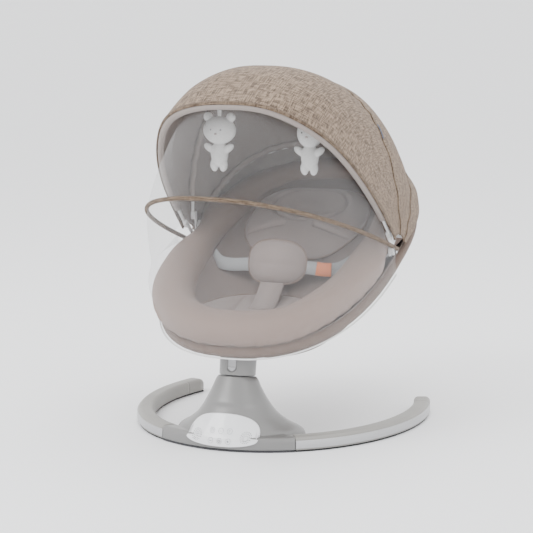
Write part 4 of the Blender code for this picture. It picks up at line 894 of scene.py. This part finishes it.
for side, sign in (("right", 1), ("left", -1)):
    path = np.array([(sign * 0.030, RING_Y - 0.041, 0.288), (sign * 0.060, RING_Y - 0.043, 0.289),
                     (sign * 0.092, RING_Y - 0.043, 0.287), (sign * 0.118, RING_Y - 0.034, 0.289),
                     (sign * 0.138, RING_Y - 0.018, 0.300)])
    strap = band(f"{side}_waist_webbing", path, 0.024, 0.0018, (0.0, 0.25, 1.0))
    dress(strap, webbing, "cradle", "strap_webbing", f"{side}_waist_strap")
tab = band("orange_tab", np.array([(0.078, RING_Y - 0.0450, 0.2884), (0.092, RING_Y - 0.0450, 0.2872),
                                   (0.106, RING_Y - 0.0420, 0.2872)]), 0.0245, 0.0032, (0.0, 0.25, 1.0), 20)
dress(tab, orange_cloth, "cradle", "strap_webbing")
tongue = band("crotch_band", np.array([(0, RING_Y - 0.128, 0.2205), (0, RING_Y - 0.110, 0.2270),
                                       (0, RING_Y - 0.088, 0.2420), (0, RING_Y - 0.070, 0.2600)]),
              0.046, 0.005, (1.0, 0.0, 0.0))
dress(tongue, insert_cloth, "cradle", "pad_fabric", "crotch_strap")


# ---------------------------------------------------------------- hinges and hidden parts
# White moulded hinge pieces are stacked on a steel pin at each side.  The bows, the bracket and the
# drive inside the pedestal keep their shapes and take their finishes here.

white = moulded("white_moulding", (0.76, 0.76, 0.765), 0.32)
steel = moulded("drawn_steel", (0.56, 0.57, 0.59), 0.28, 1.0)
cast = moulded("cast_alloy", (0.60, 0.60, 0.58), 0.42, 1.0, bump=0.0001)
board = moulded("circuit_board", (0.03, 0.16, 0.07), 0.45)
bronze = moulded("sintered_bronze", (0.55, 0.36, 0.16), 0.40, 1.0)
nylon = moulded("natural_nylon", (0.76, 0.74, 0.68), 0.42)
FINISHES = {
    white: ("buckle", "right_hinge_plate", "left_hinge_plate", "front_bow", "mid_bow", "rear_bow"),
    steel: ("swing_shaft", "drive_motor", "seat_ring_tube", "recline_pin", "right_hinge_pin",
            "left_hinge_pin", "release_spring"),
    cast: ("gearbox_frame", "seat_bracket"), board: ("circuit_board",),
    bronze: ("shaft_bush", "drive_pinion"), nylon: ("sector_gear",),
    dark: ("bottom_cover", "speaker", "power_inlet"), belly_cloth: ("seat_sling",)}
for finish, names in FINISHES.items():
    for name in names:
        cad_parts[name].data.materials.clear()
        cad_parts[name].data.materials.append(finish)


# ---------------------------------------------------------------- canopy
# Melange cloth is stretched over three bows, with a grey lining inside.  It is sewn at each bow, and
# its front edge is a turned hem.  The rear stretch is fixed to the cradle.

HOOD_HALF_WIDTH, HOOD_FULLNESS = 0.214, 2.62
HOOD_ANGLES = np.array([17.5, 41, 55, 68, 83, 100, 120, 138, 150, 157, 165])
HOOD_REACHES = np.array([0.459, 0.446, 0.415, 0.378, 0.328, 0.310, 0.289, 0.272, 0.302, 0.330, 0.334])
FRONT_BOW, MID_BOW, REAR_BOW, HOOD_END = 41.0, 83.0, 138.0, 162.5


def leaned(angle, turn, reach, half_width, fullness):
    """A superellipse from hinge to hinge whose plane leans by the angle above the horizontal front."""
    x = half_width * signed_power(np.cos(turn), 2 / fullness)
    far = reach * np.sin(turn) ** (2 / fullness)
    lean = np.radians(angle)
    return np.stack(np.broadcast_arrays(x, HINGE_Y - far * np.cos(lean), HINGE_Z + far * np.sin(lean)), -1)


def canopy(angle, turn, inset=0.0):
    """The canopy's skin, a little hollow between the bows and puckered beside them."""
    reach = np.interp(angle, HOOD_ANGLES, HOOD_REACHES)
    sag = sum(np.sin(np.pi * np.clip((angle - low) / (high - low), 0, 1))
              for low, high in ((FRONT_BOW, MID_BOW), (MID_BOW, REAR_BOW)))
    near = sum(np.exp(-((angle - at) / 5.0) ** 2) for at in (MID_BOW, REAR_BOW))
    pucker = 0.0010 * near * np.sin(turn * 38 + 2 * np.sin(turn * 7))
    ripple = 0.0012 * np.sin(turn * 9 + angle * 0.11) * np.sin(angle * 0.17 + 1.0)
    off = inset + 0.0035 * sag * np.sin(turn) + pucker + ripple * np.sin(turn)
    return leaned(angle, turn, reach - off, HOOD_HALF_WIDTH - off, HOOD_FULLNESS)


melange = woven("canopy_melange", (0.30, 0.222, 0.160), (0.085, 0.058, 0.040), 0.55, 7000.0, 0.00025, 0.1)
lining = woven("canopy_lining", (0.30, 0.262, 0.242), (0.26, 0.225, 0.206), 0.05)
# The hem's cloth is the canopy melange in darker tones: painted shade on the turned hem, the bow seams and
# the hoop's cover.
shaded_hem_cloth = woven("canopy_hem_painted_shade", (0.20, 0.145, 0.102), (0.070, 0.047, 0.032), 0.50, 7000.0, 0.00025, 0.1)
turn = np.linspace(math.radians(2.6), math.pi - math.radians(2.6), 300)[None, ::-1]
PANELS = (("canopy_front", FRONT_BOW, MID_BOW - 0.15, 130, "hood_front_cloth", "mid_canopy", "front_canopy",
           ("front_bow", "mid_bow")),
          ("canopy_middle", MID_BOW + 0.15, REAR_BOW - 0.15, 150, "hood_mid_cloth", "cradle", "mid_canopy",
           ("mid_bow", "rear_bow")),
          ("canopy_rear", REAR_BOW + 0.15, HOOD_END, 70, "hood_rear_cloth", None, "cradle", ("rear_bow",)))
for name, low, high, rows, node, rear_body, body, bows in PANELS:
    angle = np.linspace(low, high, rows)[:, None]
    cloth = surface(name, canopy(angle, turn))
    cloth.data.materials.append(melange)
    cloth.data.materials.append(lining)
    wall = cloth.modifiers.new("lining", "SOLIDIFY")
    wall.thickness, wall.offset, wall.material_offset = 0.0020, -1.0, 1
    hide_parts(node)
    if rear_body:
        tuple(canopy(high, np.pi / 2))
        tuple(canopy(low, np.pi / 2))
        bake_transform(cloth)
    else:
        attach(cloth, body)
    flat_size, area = cut_size(canopy(angle, turn))


def tube_along(name, path, radius, finish, body, slot, sides=12, squeeze=1.0):
    """A round or oval cord along a path of points."""
    along = np.gradient(path, axis=0)
    along /= np.linalg.norm(along, axis=1, keepdims=True)
    side = np.cross(along, path - np.array([0, HINGE_Y, HINGE_Z]))
    side /= np.linalg.norm(side, axis=1, keepdims=True)
    face = np.cross(along, side)
    a = np.linspace(0, 2 * np.pi, sides, endpoint=False)[None, :, None]
    grid = path[:, None] + radius * (squeeze * np.cos(a) * side[:, None] + np.sin(a) * face[:, None])
    piece = close_ends(surface(name, grid, wrap_columns=True))
    return dress(piece, finish, body, slot)


line = np.linspace(math.radians(2.6), math.pi - math.radians(2.6), 400)
# The front hem and the bow seams take the darker copy of the melange: painted shade.
tube_along("canopy_front_hem", canopy(FRONT_BOW + 0.35, line, 0.0010), 0.0021, shaded_hem_cloth, "front_canopy",
           "melange_fabric", 12, 2.0)
BOW_TURN = np.linspace(math.radians(9), math.radians(171), 300)
for name, at, body in (("mid", MID_BOW, "mid_canopy"), ("rear", REAR_BOW, "cradle")):
    tube_along(f"canopy_{name}_seam", canopy(at, line, -0.0004), 0.0016, shaded_hem_cloth, body, "melange_fabric", 8)
for name, at, body in (("front", FRONT_BOW, "front_canopy"), ("mid", MID_BOW, "mid_canopy"),
                       ("rear", REAR_BOW, "cradle")):
    tube_along(f"{name}_bow_sleeve", canopy(at, BOW_TURN, 0.0088), 0.0062, lining, body, "cradle_fabric", 14)
navy = woven("navy_label", (0.05, 0.07, 0.12), (0.03, 0.04, 0.08), 0.05)
label_turn = np.linspace(math.radians(41), math.radians(34.5), 16)[None, :]
label_angle = np.linspace(MID_BOW + 2.2, MID_BOW + 0.2, 8)[:, None]
label = surface("canopy_label", canopy(label_angle, label_turn, -0.0012))
label.modifiers.new("cloth", "SOLIDIFY").thickness = 0.0006
dress(label, navy, "mid_canopy", "melange_fabric")


# ---------------------------------------------------------------- insect net
# A fine white net hangs from inside the canopy over a cloth-covered hoop and down round the front of
# the rim, where an elastic cord gathers its hem.

NET_HALF_WIDTH, NET_FULLNESS, NET_HOOP = 0.214, 2.25, 17.5
NET_ANGLES = np.array([-26, -18, -10, 0, 17.5, 41, 50])
NET_REACHES = np.array([0.352, 0.368, 0.388, 0.415, 0.459, 0.432, 0.414])


def net_finish():
    """White threads about a millimetre and a half apart; the open cells let most light through."""
    material = bpy.data.materials.new("white_net")
    material.use_nodes = True
    tree = material.node_tree
    shader = tree.nodes["Principled BSDF"]
    shader.inputs["Base Color"].default_value = (0.62, 0.62, 0.63, 1.0)
    shader.inputs["Roughness"].default_value = 0.7
    shader.inputs["Specular IOR Level"].default_value = 0.1
    place = tree.nodes.new("ShaderNodeTexCoord")
    split = tree.nodes.new("ShaderNodeSeparateXYZ")
    tree.links.new(place.outputs["UV"], split.inputs[0])
    warp = maths(tree, "ABSOLUTE", maths(tree, "SINE", maths(tree, "MULTIPLY", split.outputs["X"], 2100.0)))
    weft = maths(tree, "ABSOLUTE", maths(tree, "SINE", maths(tree, "MULTIPLY", split.outputs["Y"], 2100.0)))
    threads = maths(tree, "GREATER_THAN", maths(tree, "MAXIMUM", warp, weft), 0.985)
    facing = tree.nodes.new("ShaderNodeLayerWeight")
    facing.inputs["Blend"].default_value = 0.35
    open_cell = maths(tree, "ADD", 0.015, maths(tree, "MULTIPLY", facing.outputs["Facing"], 0.15))
    cover = maths(tree, "MAXIMUM", open_cell, maths(tree, "MULTIPLY", threads, 0.30))
    tree.links.new(cover, shader.inputs["Alpha"])
    return material


net = net_finish()


def net_skin(angle, turn, half_width=NET_HALF_WIDTH):
    return leaned(angle, turn, np.interp(angle, NET_ANGLES, NET_REACHES), half_width, NET_FULLNESS)


NET_TOP = 44.0                      # where the net is sewn to the canopy's lining
turn = np.linspace(math.pi - math.radians(8), math.radians(8), 220)[None, :]
angle = np.linspace(NET_HOOP + 0.5, NET_TOP, 60)[:, None]
part = (angle - NET_HOOP) / (NET_TOP - NET_HOOP)
upper_grid = net_skin(angle, turn, NET_HALF_WIDTH - 0.0155 * part)
upper = surface("upper_net_skin", upper_grid)
upper.data.materials.append(net)
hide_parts("upper_net")
tuple(net_skin(NET_TOP, np.pi / 2))
tuple(net_skin(NET_HOOP, np.pi / 2))
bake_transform(upper)
flat_size, area = cut_size(upper_grid)

turn = np.linspace(math.radians(4), math.pi - math.radians(4), 260)[None, :]
s = np.sin(turn)
rows = [net_skin(a, turn[0]) for a in (NET_HOOP - 0.4, 8.0, 0.0)]
rows.append(rim(turn[0], 0.040 + 0.012 * s[0] ** 2, 0.020 + 0.045 * s[0]))
rows += [rim(turn[0], out, up) for out, up in ((0.0400, 0.004), (0.0385, -0.016), (0.0380, -0.034))]
rows = np.stack(rows)
knots = np.array([0.0, 0.8, 1.4, 2.2, 3.2, 3.7, 4.15])
fine = np.linspace(0, 4.15, 90)
lower_grid = np.stack([eased(knots, rows[:, j, k], fine) for j in range(rows.shape[1]) for k in range(3)],
                      -1).reshape(90, -1, 3)
gather = 0.0010 * np.sin(np.arange(lower_grid.shape[1]) * 0.9) * (fine[:, None] / 4.15) ** 5
lower_grid[..., 1] -= gather
lower = surface("lower_net_skin", lower_grid)
dress(lower, net, "net", "net_mesh", "lower_net")
flat_size, area = cut_size(lower_grid)

line = np.linspace(math.radians(2.0), math.pi - math.radians(2.0), 400)
# The hoop's cover takes the darker copy of the canopy melange: painted shade.
hoop = tube_along("hoop_cover", net_skin(NET_HOOP, line), 0.0040, shaded_hem_cloth, "net", "melange_fabric", 14)
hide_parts("net_hoop")
line = np.linspace(math.radians(4), math.pi - math.radians(4), 500)
elastic = woven("net_elastic", (0.80, 0.80, 0.80), (0.66, 0.66, 0.66), 0.05)
hem = tube_along("net_hem", rim(line, 0.0375, -0.0372), 0.0015, elastic, "net", "dark_plastic", 10)
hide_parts("net_elastic_hem")


# ---------------------------------------------------------------- plush toys
# A small bear and a small rabbit of white short-pile plush hang from ribbons under the canopy.

plush = woven("white_plush", (0.78, 0.78, 0.77), (0.60, 0.60, 0.59), 0.10, 2600.0, 0.0008, 0.6, 0.95)
eye_finish = moulded("toy_thread", (0.05, 0.05, 0.055), 0.4)
nose_finish = moulded("toy_nose", (0.45, 0.40, 0.38), 0.6)
ribbon_cloth = woven("toy_ribbon", (0.84, 0.84, 0.83), (0.76, 0.76, 0.75), 0.05)
TOY_X, TOY_Y, TOY_TOP, TOY_HANG = 0.088, RING_Y - 0.110, 0.578, 0.636


def ellipsoid(centre, radii, lean=0.0, rings=24, sides=36):
    """An ellipsoid as a grid of rings between its poles, leaned about the line of sight."""
    v = np.linspace(0.04, np.pi - 0.04, rings)[:, None]
    u = np.linspace(0, 2 * np.pi, sides, endpoint=False)[None, :]
    local = np.stack([radii[0] * np.sin(v) * np.cos(u), radii[1] * np.sin(v) * np.sin(u),
                      radii[2] * np.cos(v) + 0 * u], -1)
    c, s = math.cos(lean), math.sin(lean)
    x, y, z = local[..., 0], local[..., 1], local[..., 2]
    turned = np.stack([x * c + z * s, y, z * c - x * s], -1)
    return close_ends(surface("lump", turned + np.array(centre), wrap_columns=True))


for side, sign in (("right", 1), ("left", -1)):
    middle_x = sign * TOY_X
    head_z = TOY_TOP - 0.0330
    ears = [((0.0225, 0.0, 0.0240), (0.0090, 0.0060, 0.0085), 0.5)] if side == "left" else \
        [((0.0100, 0.0, 0.0330), (0.0062, 0.0048, 0.0120), 0.18)]
    head_radii = (0.0315, 0.0205, 0.0255) if side == "left" else (0.0240, 0.0190, 0.0265)
    lumps = [((0, 0, head_z), head_radii, 0.0), ((0, 0, head_z - 0.0435), (0.0165, 0.0130, 0.0240), 0.0)]
    for k in (-1, 1):
        for place, radii, lean in ears:
            lumps.append(((k * place[0], place[1], head_z + place[2]), radii, k * lean))
        lumps.append(((k * 0.0185, -0.003, head_z - 0.0330), (0.0068, 0.0060, 0.0125), k * 0.95))
        lumps.append(((k * 0.0092, -0.003, head_z - 0.0640), (0.0074, 0.0072, 0.0120), k * 0.12))
    shapes = [ellipsoid((middle_x + p[0], TOY_Y + p[1], p[2]), r, lean) for p, r, lean in lumps]
    toy = fuse(shapes[0], shapes[1:], 0.0011, 6)
    toy.name = f"{side}_toy_plush"
    cloth_map = toy.data.uv_layers.new(name="cloth")
    corner_points = np.empty(len(toy.data.vertices) * 3, np.float32)
    toy.data.vertices.foreach_get("co", corner_points)
    order = np.empty(len(toy.data.loops), np.int32)
    toy.data.loops.foreach_get("vertex_index", order)
    cloth_map.data.foreach_set("uv", corner_points.reshape(-1, 3)[order][:, [0, 2]].reshape(-1))
    dress(toy, plush, f"{side}_hanging_toy", "plush", f"{side}_toy")
    for k in (-1, 1):
        eye = ellipsoid((middle_x + k * 0.0095, TOY_Y - head_radii[1] * 0.93, head_z + 0.0020),
                        (0.0014, 0.0010, 0.0016), 0.0, 10, 14)
        eye.name = f"{side}_toy_eye_{'left' if k < 0 else 'right'}"
        dress(eye, eye_finish, f"{side}_hanging_toy", "plush")
    nose = ellipsoid((middle_x, TOY_Y - head_radii[1], head_z - 0.0055), (0.0030, 0.0016, 0.0020),
                     0.0, 10, 14)
    nose.name = f"{side}_toy_nose"
    dress(nose, nose_finish, f"{side}_hanging_toy", "plush")
    route = np.array([(middle_x, TOY_Y, TOY_TOP - 0.0110), (middle_x, TOY_Y, 0.600),
                      (middle_x, TOY_Y - 0.0005, TOY_HANG + 0.004)])
    ribbon = band(f"{side}_toy_ribbon", route, 0.0075, 0.0012, (1.0, 0.0, 0.0), 16)
    dress(ribbon, ribbon_cloth, f"{side}_hanging_toy", "plush")

bpy.context.view_layer.update()
